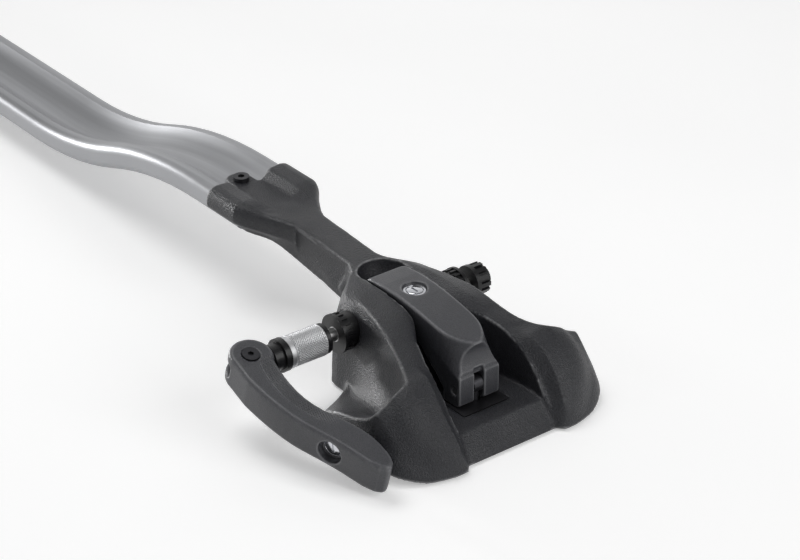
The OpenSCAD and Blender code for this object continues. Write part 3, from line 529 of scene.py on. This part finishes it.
FINISHES = (
    MouldedPlastic("housing_plastic", (0.021, 0.0218, 0.0265), (0.32, 0.322, 0.33), edges=0.9),
    MouldedPlastic(
        "lever_plastic", (0.040, 0.0412, 0.049), (0.25, 0.252, 0.265),
        grain=1200.0, depth=0.00018, edges=0.6, gloss=0.66, rib_depth=0.00022,
    ),
    MouldedPlastic(
        "trim_plastic", (0.010, 0.010, 0.011), (0.12, 0.12, 0.13), depth=0.00006, roughness=0.32, edges=0.5,
    ),
    MouldedPlastic(
        "rear_plastic", (0.025, 0.0258, 0.0300), (0.18, 0.181, 0.19), grain=1000.0, depth=0.0002, edges=0.6,
    ),
    Rubber("pad_rubber", (0.018, 0.018, 0.018)),
    Rubber("strap_rubber", (0.024, 0.024, 0.025), roughness=0.6),
    Aluminium("anodised_aluminium", (0.40, 0.405, 0.42), roughness=0.46),
    PatchyFinish("nut_metal", (0.62, 0.625, 0.635), roughness=0.5),
    PatchyFinish("zinc_steel", (0.5, 0.5, 0.5), roughness=0.34),
    PatchyFinish("dark_steel", (0.05, 0.05, 0.055), roughness=0.42, metallic=0.8, depth=0.00002),
    PatchyFinish("lock_chrome", (0.62, 0.63, 0.66), roughness=0.2, depth=0.000003),
)


def clear_selection() -> None:
    """Deselects everything, so that an operator that adds a piece touches no other."""
    for other in bpy.context.selected_objects:
        other.select_set(False)


def only(obj: Piece) -> None:
    """Selects one object and makes it active.

    Args:
        obj: The object.
    """
    clear_selection()
    obj.hide_set(False)
    obj.select_set(True)
    bpy.context.view_layer.objects.active = obj


def settle(obj: Piece) -> None:
    """Moves a piece's place, turn and size into its mesh."""
    only(obj)
    bpy.ops.object.transform_apply(location=True, rotation=True, scale=True)


@contextmanager
def editing(obj: Piece) -> Iterator[None]:
    """Opens a piece for editing with its whole mesh selected, and closes it again.

    Args:
        obj: The piece.

    Yields:
        Nothing, while the piece is open.
    """
    only(obj)
    bpy.ops.object.mode_set(mode="EDIT")
    bpy.ops.mesh.select_all(action="SELECT")
    yield
    bpy.ops.object.mode_set(mode="OBJECT")


def apply_modifier(obj: Piece, kind: str, **settings: object) -> None:
    """Adds a modifier and applies it.

    Args:
        obj: The object.
        kind: The modifier's type.
        settings: Its settings.
    """
    only(obj)
    modifier = obj.modifiers.new(kind.lower(), kind)
    for key, value in settings.items():
        setattr(modifier, key, value)
    bpy.ops.object.modifier_apply(modifier=modifier.name)


def rows(items: Items, key: str) -> np.ndarray:
    """Reads a vector from each item of a mesh.

    Args:
        items: The mesh's vertices or normals.
        key: The vector's name.

    Returns:
        One row of x, y and z for each item.
    """
    values = np.zeros(len(items) * 3)
    items.foreach_get(key, values)
    return values.reshape(-1, 3)


def write_attribute(obj: Piece, name: str, values: np.ndarray) -> None:
    """Stores one number for each vertex of a piece as a named attribute."""
    layer = obj.data.attributes.new(name, "FLOAT", "POINT")
    layer.data.foreach_set("value", values.astype(np.float32))


def copy_of(node: str, name: str) -> Piece:
    """Copies a CAD node's mesh into a new object and merges its loose triangles.

    Args:
        node: The CAD node.
        name: The new object's name.

    Returns:
        The new object, at the origin.
    """
    obj = bpy.data.objects.new(name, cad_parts[node].data.copy())
    bpy.context.scene.collection.objects.link(obj)
    with editing(obj):
        bpy.ops.mesh.remove_doubles(threshold=WELD)
    return obj


def smooth(obj: Piece, passes: int, weights: np.ndarray) -> None:
    """Smooths a piece by weight.

    Args:
        obj: The piece.
        passes: How often it is smoothed.
        weights: How strongly each vertex takes part, from 0 to 1.
    """
    group = obj.vertex_groups.new(name="soft")
    for index in np.flatnonzero(weights):
        group.add([int(index)], float(weights[index]), "REPLACE")
    apply_modifier(obj, "SMOOTH", factor=SMOOTHING, iterations=passes, vertex_group=group.name)
    obj.vertex_groups.clear()


def mark_edges(obj: Piece, gain: float, quiet: float) -> None:
    """Writes how sharply a surface turns outwards to the edge attribute.

    Args:
        obj: The finished piece.
        gain: Turns the bend over a vertex's edges, per millimetre, into a share from 0 to 1.
        quiet: The share that is taken off, so that slight bends stay unmarked.
    """
    mesh = obj.data
    count = len(mesh.vertices)
    places = rows(mesh.vertices, "co")
    normals = rows(mesh.vertex_normals, "vector")
    ends = np.zeros(len(mesh.edges) * 2, np.int64)
    mesh.edges.foreach_get("vertices", ends)
    a, b = ends.reshape(-1, 2).T
    degree = np.maximum(np.bincount(ends, minlength=count), 1)
    gap = places[b] - places[a]
    square = np.maximum((gap * gap).sum(1), SHORTEST ** 2)
    bend = ((normals[b] - normals[a]) * gap).sum(1) / square * MM
    value = (np.bincount(a, bend, count) + np.bincount(b, bend, count)) / degree
    for _ in range(EDGE_BLUR):
        around = (np.bincount(a, value[b], count) + np.bincount(b, value[a], count)) / degree
        value = (value + around) / 2
    write_attribute(obj, EDGE, np.clip(value * gain - quiet, 0, 1))


def coat(obj: Piece, slot: str) -> None:
    """Gives a piece a slot's finish and no other."""
    obj.data.materials.clear()
    obj.data.materials.append(bpy.data.materials[finish_name(slot)])


def finished(obj: Piece, body: Body, slot: str, node: str) -> Piece:
    """Rides a new piece on its body, in place of a CAD node, with its finish.

    Args:
        obj: The piece.
        body: The body it moves with.
        slot: The record's material slot.
        node: The CAD node it stands for.

    Returns:
        The piece.
    """
    coat(obj, slot)
    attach(obj, body.value)
    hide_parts(node)
    log.info("%s rides on %s: %d faces", obj.name, body.value, len(obj.data.polygons))
    return obj


def dress(slot: str, *nodes: str) -> None:
    """Gives CAD nodes that stay a finish.

    Args:
        slot: The material slot.
        nodes: The CAD nodes.
    """
    for node in nodes:
        coat(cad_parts[node], slot)
        log.info("%s keeps its solid, in %s", node, slot)


def point_along(obj: Piece, axis: Point, at: Point) -> None:
    """Turns a piece that was drawn along Z so that it lies along an axis, and moves it there, in its mesh.

    Args:
        obj: The piece, drawn round the origin.
        axis: The direction that its Z takes.
        at: The place that its origin takes.
    """
    obj.rotation_euler = Vector(axis).to_track_quat("Z", "Y").to_euler()
    obj.location = at
    settle(obj)


def turned(name: str, plan: list[tuple[float, float]], corners: int) -> Piece:
    """Draws a turned piece ring by ring from a circle, along Z.

    Args:
        name: The piece's name.
        plan: Each ring's height and radius.
        corners: The number of corners round it.

    Returns:
        The closed piece, with its normals outwards.
    """
    clear_selection()
    height, radius = plan[0]
    bpy.ops.mesh.primitive_circle_add(
        vertices=corners, radius=radius, fill_type="NGON", location=(0, 0, height),
    )
    obj = bpy.context.object
    obj.name = name
    settle(obj)
    with editing(obj):
        for (z0, r0), (z1, r1) in zip(plan, plan[1:]):
            bpy.ops.mesh.extrude_region_move(TRANSFORM_OT_translate={"value": (0, 0, z1 - z0)})
            bpy.ops.transform.resize(value=(r1 / r0, r1 / r0, 1), center_override=(0, 0, z1))
        bpy.ops.mesh.select_all(action="SELECT")
        bpy.ops.mesh.normals_make_consistent(inside=False)
    return obj


def cut_away(obj: Piece, cutter: Piece) -> None:
    """Cuts one closed piece out of another and removes the cutter.

    Args:
        obj: The piece that is cut.
        cutter: The piece that cuts.
    """
    apply_modifier(obj, "BOOLEAN", object=cutter, operation="DIFFERENCE", solver="MANIFOLD")
    only(cutter)
    bpy.ops.object.delete()


@dataclass(frozen=True)
class Hollow:
    """A round hollow in a moulding: a bowl, or a drilled hole where bowl is off.

    Fields are its middle, its half sizes with the one along its axis last, the axis, and its kind.
    """

    at: Point
    half: Point
    axis: Point = (0.0, 0.0, 1.0)
    bowl: bool = False

    def cut(self, obj: Piece) -> None:
        """Cuts the hollow.

        Args:
            obj: The moulding.
        """
        clear_selection()
        if self.bowl:
            bpy.ops.mesh.primitive_uv_sphere_add(segments=64, ring_count=32, radius=1.0)
        else:
            bpy.ops.mesh.primitive_cylinder_add(vertices=96, radius=1.0, depth=2.0)
        cutter = bpy.context.object
        cutter.scale = self.half
        settle(cutter)
        point_along(cutter, self.axis, self.at)
        cut_away(obj, cutter)


@dataclass(frozen=True)
class SoftSpot:
    """An egg-shaped region of a moulding whose inner corners melt into broad fillets.

    Rise is how soon smoothing is in full inwards, and lowest how far down a face may look to be smoothed.
    """

    at: Point
    half: Point
    passes: int
    rise: float = 1.6
    lowest: float = -0.3

    def melt(self, obj: Piece) -> None:
        """Smooths the faces of the region that don't look down, most in its middle.

        Args:
            obj: The moulding.
        """
        off = (((rows(obj.data.vertices, "co") - self.at) / self.half) ** 2).sum(1)
        looks_up = rows(obj.data.vertex_normals, "vector")[:, 2] > self.lowest
        smooth(obj, self.passes, np.clip(self.rise * (1 - off), 0, 1) * looks_up)


@dataclass(frozen=True)
class Moulding:
    """A moulded copy of a CAD node, with soft edges.

    It is cast in cells of that size, cut, melted in spots and smoothed in passes, with more of them on its
    rear end if need be. Edges are marked for the painted edge highlight and wear by their bend times the
    gain, less the quiet share.
    It has about as many triangles as most says, or fewer.
    """

    node: str
    body: Body
    slot: str
    cell: float
    passes: int = 6
    hollows: tuple[Hollow, ...] = ()
    spots: tuple[SoftSpot, ...] = ()
    end_passes: int = 0
    end_length: float = 9.0 * MM
    edge_gain: float = 3.4
    edge_quiet: float = 0.25
    most: int = 190_000

    def build(self) -> Piece:
        """Casts the copy in small cells, cuts its hollows, smooths it and puts it in the node's place.

        Returns:
            The piece, shaded smooth, with its edge attribute.
        """
        obj = copy_of(self.node, self.node + "_moulded")
        cells = {"mode": "VOXEL", "voxel_size": self.cell, "adaptivity": 0.0}
        apply_modifier(obj, "REMESH", **cells)
        for hollow in self.hollows:
            hollow.cut(obj)
        if self.hollows:
            apply_modifier(obj, "REMESH", **cells)
        for spot in self.spots:
            spot.melt(obj)
        if self.end_passes:
            self.round_end(obj)
        apply_modifier(obj, "SMOOTH", factor=SMOOTHING, iterations=self.passes)
        triangles = 2 * len(obj.data.polygons)
        if triangles > self.most:
            apply_modifier(obj, "DECIMATE", ratio=self.most / triangles)
        bpy.ops.object.shade_smooth()
        mark_edges(obj, self.edge_gain, self.edge_quiet)
        return finished(obj, self.body, self.slot, self.node)

    def round_end(self, obj: Piece) -> None:
        """Smooths the end of the piece that points to the rear, in full from half its length on.

        Args:
            obj: The piece.
        """
        along = rows(obj.data.vertices, "co")[:, 1]
        share = (along - (along.max() - self.end_length)) / self.end_length
        smooth(obj, self.end_passes, np.clip(2 * share, 0, 1))


@dataclass(frozen=True)
class KeyLock:
    """A key lock sunk in a lever: a turned barrel and the core that the key turns.

    The nodes' names begin with its name. Lift is how far its face stands above the CAD face, and hole, barrel
    and plug are radii. The core stands out of the barrel as far as its seat is sunk, with a gap round it and
    a small one under it. Stop is the radius where turning ends.
    """

    name: str
    lever: Body
    core: Body
    face: Point
    axis: Point
    lift: float = 0.0
    hole: float = 8.0 * MM
    barrel: float = 7.6 * MM
    plug: float = 5.4 * MM
    depth: float = 3.0 * MM
    bevel: float = 0.5 * MM
    sink: float = 0.35 * MM
    gap: float = 0.2 * MM
    under: float = 0.02 * MM
    edge: float = 0.1 * MM
    rounding: float = 0.4 * MM
    stop: float = 0.2 * MM
    key: Point = (1.5 * MM, 6.4 * MM, 1.2 * MM)

    def hollow(self) -> Hollow:
        """Describes the hole that the lever needs.

        Returns:
            The hole, from just below the barrel's face to well above the lever.
        """
        reach = 7.0 * MM
        below = 0.4 * MM
        middle = Vector(self.face) + Vector(self.axis) * (reach + self.lift - below)
        return Hollow(tuple(middle), (self.hole, self.hole, reach), self.axis)

    def build(self) -> None:
        """Builds the barrel and the core, with its key slot."""
        corners = 96
        ring = [
            (-self.depth, self.barrel), (-self.bevel, self.barrel), (0.0, self.barrel - self.bevel),
            (0.0, self.plug + self.bevel), (-self.sink, self.plug + self.gap), (-self.sink, self.stop),
        ]
        disc = [
            (self.under - self.sink, self.plug), (self.edge, self.plug),
            (self.sink, self.plug - self.rounding), (self.sink, self.stop),
        ]
        barrel = turned(self.name + "_barrel_turned", ring, corners)
        core = turned(self.name + "_core_turned", disc, corners)
        clear_selection()
        bpy.ops.mesh.primitive_cube_add(size=1.0)
        slot = bpy.context.object
        slot.scale = self.key
        settle(slot)
        cut_away(core, slot)
        at = tuple(Vector(self.face) + Vector(self.axis) * self.lift)
        for obj, body, node in ((barrel, self.lever, "_barrel"), (core, self.core, "_core")):
            point_along(obj, self.axis, at)
            bpy.ops.object.shade_smooth_by_angle(angle=LOCK_CREASE)
            finished(obj, body, "lock_chrome", self.name + node)


@dataclass(frozen=True)
class ClampHead:
    """The moulded head that sits on the front bar, with the axle sleeve, its fork seats and the pad below.

    The bowl clears the clamp lever's rear end. Scoop and hood are the left one of a pair of soft corners.
    """

    bowl: Hollow = Hollow(at=(0.0, 0.0925, 0.060), half=(0.0162, 0.0155, 0.016), bowl=True)
    scoop: SoftSpot = SoftSpot(at=(-0.053, 0.036, 0.011), half=(0.022, 0.036, 0.020), passes=320)
    hood: SoftSpot = SoftSpot(at=(-0.0205, 0.034, 0.053), half=(0.011, 0.017, 0.014), passes=70)
    skirt: SoftSpot = SoftSpot(at=(0.0, 0.010, 0.0), half=(0.125, 0.105, 0.009), passes=16)
    edge_quiet: float = 0.42
    pad: Moulding = Moulding("saddle_pad", Body.BASE, "pad_rubber", 0.5 * MM)

    def build(self) -> None:
        """Builds the housing and its pad and dresses the small pieces in it."""
        pairs = [
            replace(spot, at=(side * spot.at[0], *spot.at[1:]))
            for spot in (self.scoop, self.hood) for side in (1, -1)
        ]
        housing = Moulding(
            "head_housing", Body.BASE, "housing_plastic", 0.8 * MM, passes=9,
            hollows=(self.bowl,), spots=(*pairs, self.skirt), edge_quiet=self.edge_quiet,
        )
        for part in (housing, self.pad):
            part.build()
        dress("trim_plastic", "fork_seat_left", "fork_seat_right")
        dress("zinc_steel", "axle_sleeve")
        dress("dark_steel", "cam_plate", "tongue_screw")


@dataclass(frozen=True)
class BarClamp:
    """The over-centre lever in the head's pocket, with its lock and its bolt down to the bar."""

    lock: KeyLock = KeyLock(
        "clamp_lock", Body.CLAMP_LEVER, Body.CLAMP_LOCK,
        face=(0.0, 0.0595, 0.0588), axis=(0.0, 0.0, 1.0), lift=1.6 * MM,
    )

    def build(self) -> None:
        """Builds the lever and its lock and dresses the pin and the bolt."""
        lever = Moulding(
            "clamp_lever", Body.CLAMP_LEVER, "lever_plastic", 0.6 * MM,
            hollows=(self.lock.hollow(),), end_passes=30,
        )
        lever.build()
        self.lock.build()
        dress("zinc_steel", "clamp_pin")
        dress("dark_steel", "clamp_bolt")


@dataclass(frozen=True)
class KnurledNut:
    """The adjuster nut: a diamond knurl between two plain rims.

    The groove and the wide rim with its shoulder are at the lever's end, and run-out is the slope up to the
    knurl.
    """

    teeth: int = 72
    depth: float = 0.45 * MM
    chamfer: float = 0.6 * MM
    groove: float = 1.0 * MM
    rim: float = 2.8 * MM
    shoulder: float = 0.4 * MM
    run_out: float = 0.3 * MM

    def build(self) -> None:
        """Draws the nut out ring by ring from a circle, and dents every other corner of the knurl."""
        low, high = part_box("adjuster_nut")
        radius = (high.z - low.z) / 2
        core = radius - self.chamfer
        middle = (low + high) / 2
        length = high.x - low.x - 2 * self.chamfer - self.groove - self.rim
        steps = round(length / (2 * math.pi * radius / self.teeth))
        rim_end = low.x + self.chamfer + self.rim
        start = rim_end + self.groove
        pitch = (high.x - self.chamfer - start) / steps
        plan = [
            (low.x, core), (low.x + self.chamfer, radius), (rim_end - self.shoulder, radius),
            (rim_end, core), (start - self.run_out, core),
            *((start + pitch * row, radius) for row in range(steps + 1)),
            (high.x, core),
        ]
        obj = turned("adjuster_nut_knurled", [(x - middle.x, r) for x, r in plan], self.teeth)
        point_along(obj, (1.0, 0.0, 0.0), tuple(middle))
        dent = (radius - self.depth) / radius
        near = 0.1 * pitch
        for vertex in obj.data.vertices:
            y = vertex.co.y - middle.y
            z = vertex.co.z - middle.z
            row = round((vertex.co.x - start) / pitch)
            turn = round(math.atan2(y, z) * self.teeth / (2 * math.pi))
            on_row = abs(vertex.co.x - start - row * pitch) < near
            if on_row and 0 < row < steps and (row + turn) % 2:
                vertex.co.y = middle.y + dent * y
                vertex.co.z = middle.z + dent * z
        with editing(obj):
            bpy.ops.mesh.quads_convert_to_tris(quad_method="SHORTEST_DIAGONAL")
        bpy.ops.object.shade_smooth_by_angle(angle=KNURL_CREASE)
        finished(obj, Body.ADJUSTER, "nut_metal", "adjuster_nut")


@dataclass(frozen=True)
class Skewer:
    """The quick-release skewer through the head: rod, end nut, knurled nut, collar and cam lever.

    Pivot and slope give the lever's own frame. Its grip ribs have a pitch, a reach and a fade from its inner
    edge, and a span along it: start, full, fading and end. That edge is found slice by slice, then blurred.
    """

    lock: KeyLock = KeyLock(
        "lever_lock", Body.SKEWER_LEVER, Body.LEVER_LOCK,
        face=(-0.112374, -0.001323, 0.015398), axis=(-0.913545, -0.39098, -0.112112), lift=-5.5 * MM,
    )
    nut: KnurledNut = KnurledNut()
    pivot: Point = (-0.11515, 0.0775, 0.038)
    slope: float = math.radians(16)
    rib_pitch: float = 1.5 * MM
    rib_reach: float = 13.0 * MM
    rib_fade: float = 3.0 * MM
    rib_span: tuple[float, ...] = (4.0 * MM, 8.0 * MM, 55.0 * MM, 75.0 * MM)
    slice_from: float = -20.0 * MM
    slice_length: float = 2.0 * MM
    slices: int = 81
    blur: int = 5

    def build(self) -> None:
        """Builds the lever and the nut and dresses the rest."""
        lever = Moulding(
            "skewer_lever", Body.SKEWER_LEVER, "lever_plastic", 0.55 * MM, hollows=(self.lock.hollow(),),
        )
        self.mark_ribs(lever.build())
        self.lock.build()
        self.nut.build()
        dress("trim_plastic", "end_nut", "cam_collar", "nut_washer")
        dress("zinc_steel", "skewer_rod")
        dress("dark_steel", "lever_pin")

    def mark_ribs(self, lever: Piece) -> None:
        """Writes the ribs' phase and height to the lever, by the distance from its inner edge.

        Args:
            lever: The lever.
        """
        x, y, z = (rows(lever.data.vertices, "co") - self.pivot).T
        out = -x
        along = -(y * math.cos(self.slope) + z * math.sin(self.slope))
        index = ((along - self.slice_from) / self.slice_length).astype(int)
        index = np.clip(index, 0, self.slices - 1)
        inner = np.full(self.slices, np.inf)
        np.minimum.at(inner, index, out)
        window = np.full(self.blur, 1 / self.blur)
        inner_edge = np.convolve(np.where(np.isfinite(inner), inner, 0), window, "same")
        away = out - inner_edge[index]
        start, full, fading, end = self.rib_span
        height = np.clip((self.rib_reach - away) / self.rib_fade, 0, 1)
        height *= np.clip((along - start) / (full - start), 0, 1)
        height *= np.clip((end - along) / (end - fading), 0, 1)
        write_attribute(lever, RIBS, away / self.rib_pitch * 2 * math.pi)
        write_attribute(lever, RIB_SHARE, height)


@dataclass(frozen=True)
class WheelRail:
    """The bent aluminium rail with its end cap."""

    def build(self) -> None:
        """Dresses the rail and its cap."""
        dress("anodised_aluminium", "rail")
        dress("trim_plastic", "rail_end_cap")


@dataclass(frozen=True)
class RearFoot:
    """The foot on the rear bar, with its slider, bolt, knob and pad."""

    foot: Moulding = Moulding("rear_foot", Body.REAR_FOOT, "rear_plastic", 0.8 * MM)
    knob: Moulding = Moulding("rear_knob", Body.REAR_KNOB, "rear_plastic", 0.45 * MM)
    pad: Moulding = Moulding("rear_pad", Body.REAR_FOOT, "pad_rubber", 0.5 * MM)

    def build(self) -> None:
        """Builds the foot, the knob and the pad and dresses the metal pieces."""
        for part in (self.foot, self.knob, self.pad):
            part.build()
        dress("zinc_steel", "rear_slider", "rear_bolt")


@dataclass(frozen=True)
class WheelStrap:
    """The rubber ladder strap over the rear tyre, from an eye on its pin to the tail behind the buckle.

    Its steps begin at the first ring and take a share of the arch, which ends short of the pin by an angle.
    The inset is the next point's distance from the border, and the pin is given by its diameter.
    """

    thickness: float = 2.6 * MM
    step_depth: float = 0.9 * MM
    steps: int = 26
    first_ring: int = 7
    ladder_share: float = 0.72
    border: float = 4.0 * MM
    border_slope: float = 0.5 * MM
    inset: float = 2.0 * MM
    corner: float = 0.7 * MM
    tail: float = 8.0 * MM
    tail_gap: float = 1.0 * MM
    short: float = 0.06
    pin: float = 5.0 * MM
    play: float = 0.15 * MM
    bevel: float = 0.8 * MM

    def build(self) -> None:
        """Draws the band's section along its arch, then adds the eye."""
        low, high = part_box("wheel_strap")
        middle = (low.y + high.y) / 2
        width = high.y - low.y
        reach = high.x - self.thickness / 2
        foot = low.z + self.tail
        rise = high.z - self.thickness / 2 - foot
        radius = (reach * reach + rise * rise) / (2 * rise)
        half = math.asin(reach / radius)
        route = [(reach, foot - self.tail, 0.0, 0.0), (reach, foot - self.tail_gap, 0.0, 0.0)]
        per_step = 4
        count = per_step * self.steps
        for i in range(count + 1):
            turn = half - (2 * half - self.short) * i / count
            raised = i % per_step in (1, 2) and self.first_ring <= i < self.ladder_share * count
            z = foot + rise - radius + radius * math.cos(turn)
            route.append((radius * math.sin(turn), z, math.pi / 2 - turn, float(raised)))
        obj = self.band(route, middle, width)
        self.eye(obj, (-reach, middle, foot), width)
        finished(obj, Body.WHEEL_TRAY, "strap_rubber", "wheel_strap")

    def section(self, width: float, lift: float) -> list[tuple[float, float]]:
        """Lays out the band's section.

        Args:
            width: The band's width.
            lift: 1 on a ladder step and 0 between steps.

        Returns:
            Points across the band and out from its middle, round the section.
        """
        w, t, r = width / 2, self.thickness / 2, self.corner
        cut = 0.3 * r
        inner = w - self.border
        floor = t - self.step_depth * (1.0 - lift)
        upper = [
            (w, t - r), (w - cut, t - cut), (w - r, t),
            (inner + self.border_slope, t), (inner, floor), (inner - self.inset, floor),
        ]
        lower = [(w - r, -t), (w - cut, cut - t), (w, r - t)]
        return upper + [(-x, z) for x, z in reversed(upper)] + [(-x, z) for x, z in reversed(lower)] + lower

    def band(self, route: list[Ring], middle: float, width: float) -> Piece:
        """Extrudes the section from point to point.

        Args:
            route: Each ring's x and z, its slope from upright and its ladder lift.
            middle: The band's place along Y.
            width: The band's width.

        Returns:
            The band.
        """
        clear_selection()
        corners = len(self.section(width, 0.0))
        bpy.ops.mesh.primitive_circle_add(vertices=corners, radius=width / 2, fill_type="NGON")
        obj = bpy.context.object
        obj.name = "wheel_strap_band"
        with editing(obj):
            for _ in route[1:]:
                bpy.ops.mesh.extrude_region_move(TRANSFORM_OT_translate={"value": (0, 0, 1 * MM)})
        for index, vertex in enumerate(obj.data.vertices):
            x, z, slope, lift = route[index // corners]
            across, out = self.section(width, lift)[index % corners]
            away = Vector((math.cos(slope), 0, math.sin(slope)))
            vertex.co = Vector((x, middle + across, z)) + out * away
        with editing(obj):
            bpy.ops.mesh.normals_make_consistent(inside=False)
        bpy.ops.object.shade_smooth_by_angle(angle=STRAP_CREASE)
        return obj

    def eye(self, band: Piece, at: Point, width: float) -> None:
        """Adds the eye round the anchor pin.

        Args:
            band: The band, which takes the eye in.
            at: The pin's middle.
            width: The band's width.
        """
        clear_selection()
        bpy.ops.mesh.primitive_cylinder_add(
            vertices=48, radius=self.pin / 2 + self.thickness, depth=width,
            location=at, rotation=(math.pi / 2, 0, 0),
        )
        ring = bpy.context.object
        settle(ring)
        apply_modifier(ring, "BEVEL", width=self.bevel, segments=3, limit_method="ANGLE")
        bore = self.pin / 2 + self.play
        Hollow(at, (bore, bore, width), axis=(0.0, 1.0, 0.0)).cut(ring)
        only(ring)
        bpy.ops.object.shade_smooth_by_angle(angle=STRAP_CREASE)
        only(band)
        ring.select_set(True)
        bpy.ops.object.join()


@dataclass(frozen=True)
class WheelTray:
    """The tray for the rear wheel, with its strap and buckle."""

    tray: Moulding = Moulding("wheel_tray", Body.WHEEL_TRAY, "rear_plastic", 1.0 * MM, passes=9)
    buckle: Moulding = Moulding("strap_buckle", Body.STRAP_BUCKLE, "rear_plastic", 0.5 * MM)
    strap: WheelStrap = WheelStrap()

    def build(self) -> None:
        """Builds the tray, the buckle and the strap and dresses the pins."""
        for part in (self.tray, self.buckle, self.strap):
            part.build()
        dress("zinc_steel", "strap_anchor_pin", "buckle_pin")


@dataclass(frozen=True)
class SoftLight:
    """A square soft light, with its side in metres and its power in watts."""

    name: str
    at: Point
    aim: Point
    size: float
    power: float

    def hang(self) -> None:
        """Hangs the light."""
        data = bpy.data.lights.new(self.name, "AREA")
        data.size = self.size
        data.energy = self.power
        lamp = bpy.data.objects.new(self.name, data)
        lamp.location = self.at
        lamp.rotation_euler = (Vector(self.aim) - Vector(self.at)).to_track_quat("-Z", "Y").to_euler()
        bpy.context.scene.collection.objects.link(lamp)


LIGHTS = (
    SoftLight("overhead softbox", (-0.25, 0.6, 1.6), (0.0, 0.1, 0.0), size=0.9, power=10.0),
    SoftLight("rear card", (1.6, 1.7, 1.4), (0.0, 0.2, 0.05), size=2.4, power=9.0),
    SoftLight("left strip", (-1.7, 0.5, 0.8), (0.0, 0.1, 0.05), size=0.7, power=1.0),
    SoftLight("front softbox", (0.45, -1.6, 1.1), (0.0, 0.0, 0.03), size=1.4, power=17.0),
    SoftLight("low back light", (-0.85, 3.4, 0.21), (-0.05, 0.03, 0.02), size=0.4, power=55.0),
)


@dataclass(frozen=True)
class Studio:
    """A pale floor, soft lights and the camera.

    Glow and far are how bright the floor is and how much more far off, and the shines are how bright the
    surround shows in gloss. Spans are where these set in. The camera's turn is in degrees, its lens in mm.
    """

    floor_size: float = 12.0
    floor_drop: float = 0.5 * MM
    floor_colour: Rgb = (0.86, 0.86, 0.86)
    floor_tint: float = 0.985
    floor_glow: float = 0.35
    floor_far: float = 0.5
    floor_middle: Point = (0.0, 0.5, 0.0)
    floor_span: Span = (1.0, 3.0)
    world: float = 0.15
    rear_shine: float = 0.65
    front_shine: float = 0.35
    back_shine: float = 0.6
    top_shine: float = 0.2
    rear_span: Span = (-0.2, 0.6)
    back_span: Span = (0.9, 0.99)
    top_span: Span = (0.15, 0.7)
    camera_at: Point = (-0.8749, -1.0523, 0.8690)
    camera_turn: Point = (60.47, 0.0, -37.83)
    lens: float = 117.0
    sensor: float = 36.0

    def build(self) -> None:
        """Sets up the floor, the lights and the camera."""
        self.floor()
        for light in LIGHTS:
            light.hang()
        self.surround()
        self.camera()
        bpy.context.scene.view_settings.view_transform = "Standard"

    def floor(self) -> None:
        """Lays a large plain floor under the lowest point, which glows a little where it is seen."""
        clear_selection()
        height = CAD_BOX[0].z - self.floor_drop
        bpy.ops.mesh.primitive_plane_add(size=self.floor_size, location=(0, 0, height))
        plane = bpy.context.object
        plane.name = "studio_floor"
        recipe = Recipe("floor paper")
        sheet = recipe.sheet
        patch = recipe.effect(Effect.HANDLING, Scale=3.0).outputs["Patch"]
        paper = sheet.mix(patch, self.floor_colour, tinted(self.floor_colour, self.floor_tint))
        seen = sheet.add("LightPath").outputs
        shown = sheet.math("ADD", seen["Is Camera Ray"], seen["Is Glossy Ray"])
        away = sheet.add("VectorMath", operation="DISTANCE")
        sheet.put(away.inputs[0], recipe.place)
        sheet.put(away.inputs[1], self.floor_middle)
        far = sheet.ramp(away.outputs["Value"], *self.floor_span)
        glow = sheet.math("MULTIPLY", shown, sheet.math("MULTIPLY_ADD", far, self.floor_far, self.floor_glow))
        plane.data.materials.append(
            recipe.feed(Base_Color=paper, Roughness=0.9, Emission_Color=WHITE, Emission_Strength=glow)
        )

    def surround(self) -> None:
        """Sets a dim surround that shows white behind the floor and pale in gloss, palest to the rear."""
        world = bpy.data.worlds.new("studio")
        bpy.context.scene.world = world
        world.use_nodes = True
        sheet = NodeSheet(world.node_tree)
        way = sheet.add("SeparateXYZ", Vector=sheet.add("TexCoord").outputs["Generated"]).outputs
        seen = sheet.add("LightPath").outputs
        rearward = sheet.ramp(way["Y"], *self.rear_span)
        wide = sheet.math("MULTIPLY_ADD", rearward, self.rear_shine - self.front_shine, self.front_shine)
        low = sheet.math("MULTIPLY_ADD", sheet.ramp(way["Y"], *self.back_span), self.back_shine, wide)
        high = sheet.ramp(way["Z"], *self.top_span)
        drop = sheet.math("MULTIPLY", high, sheet.math("SUBTRACT", low, self.top_shine))
        shine = sheet.math("SUBTRACT", sheet.math("SUBTRACT", low, drop), self.world)
        gloss = sheet.math("MULTIPLY_ADD", seen["Is Glossy Ray"], shine, self.world)
        level = sheet.math("MULTIPLY_ADD", seen["Is Camera Ray"], 1.0 - self.world, gloss)
        background = world.node_tree.nodes["Background"]
        sheet.put(background.inputs["Color"], WHITE)
        sheet.put(background.inputs["Strength"], level)

    def camera(self) -> None:
        """Places the camera."""
        data = bpy.data.cameras.new("camera")
        data.lens = self.lens
        data.sensor_width = self.sensor
        eye = bpy.data.objects.new("camera", data)
        eye.location = self.camera_at
        eye.rotation_euler = tuple(math.radians(a) for a in self.camera_turn)
        bpy.context.scene.collection.objects.link(eye)
        bpy.context.scene.camera = eye


def main() -> None:
    """Mixes the finishes, then builds the carrier's sub-assemblies and the studio in order."""
    logging.basicConfig(level=logging.INFO, format="%(name)s: %(message)s")
    for finish in FINISHES:
        finish.material()
    for part in (ClampHead(), BarClamp(), Skewer(), WheelRail(), RearFoot(), WheelTray(), Studio()):
        part.build()
        log.info("%s is built", type(part).__name__)


if __name__ == "__main__":
    main()
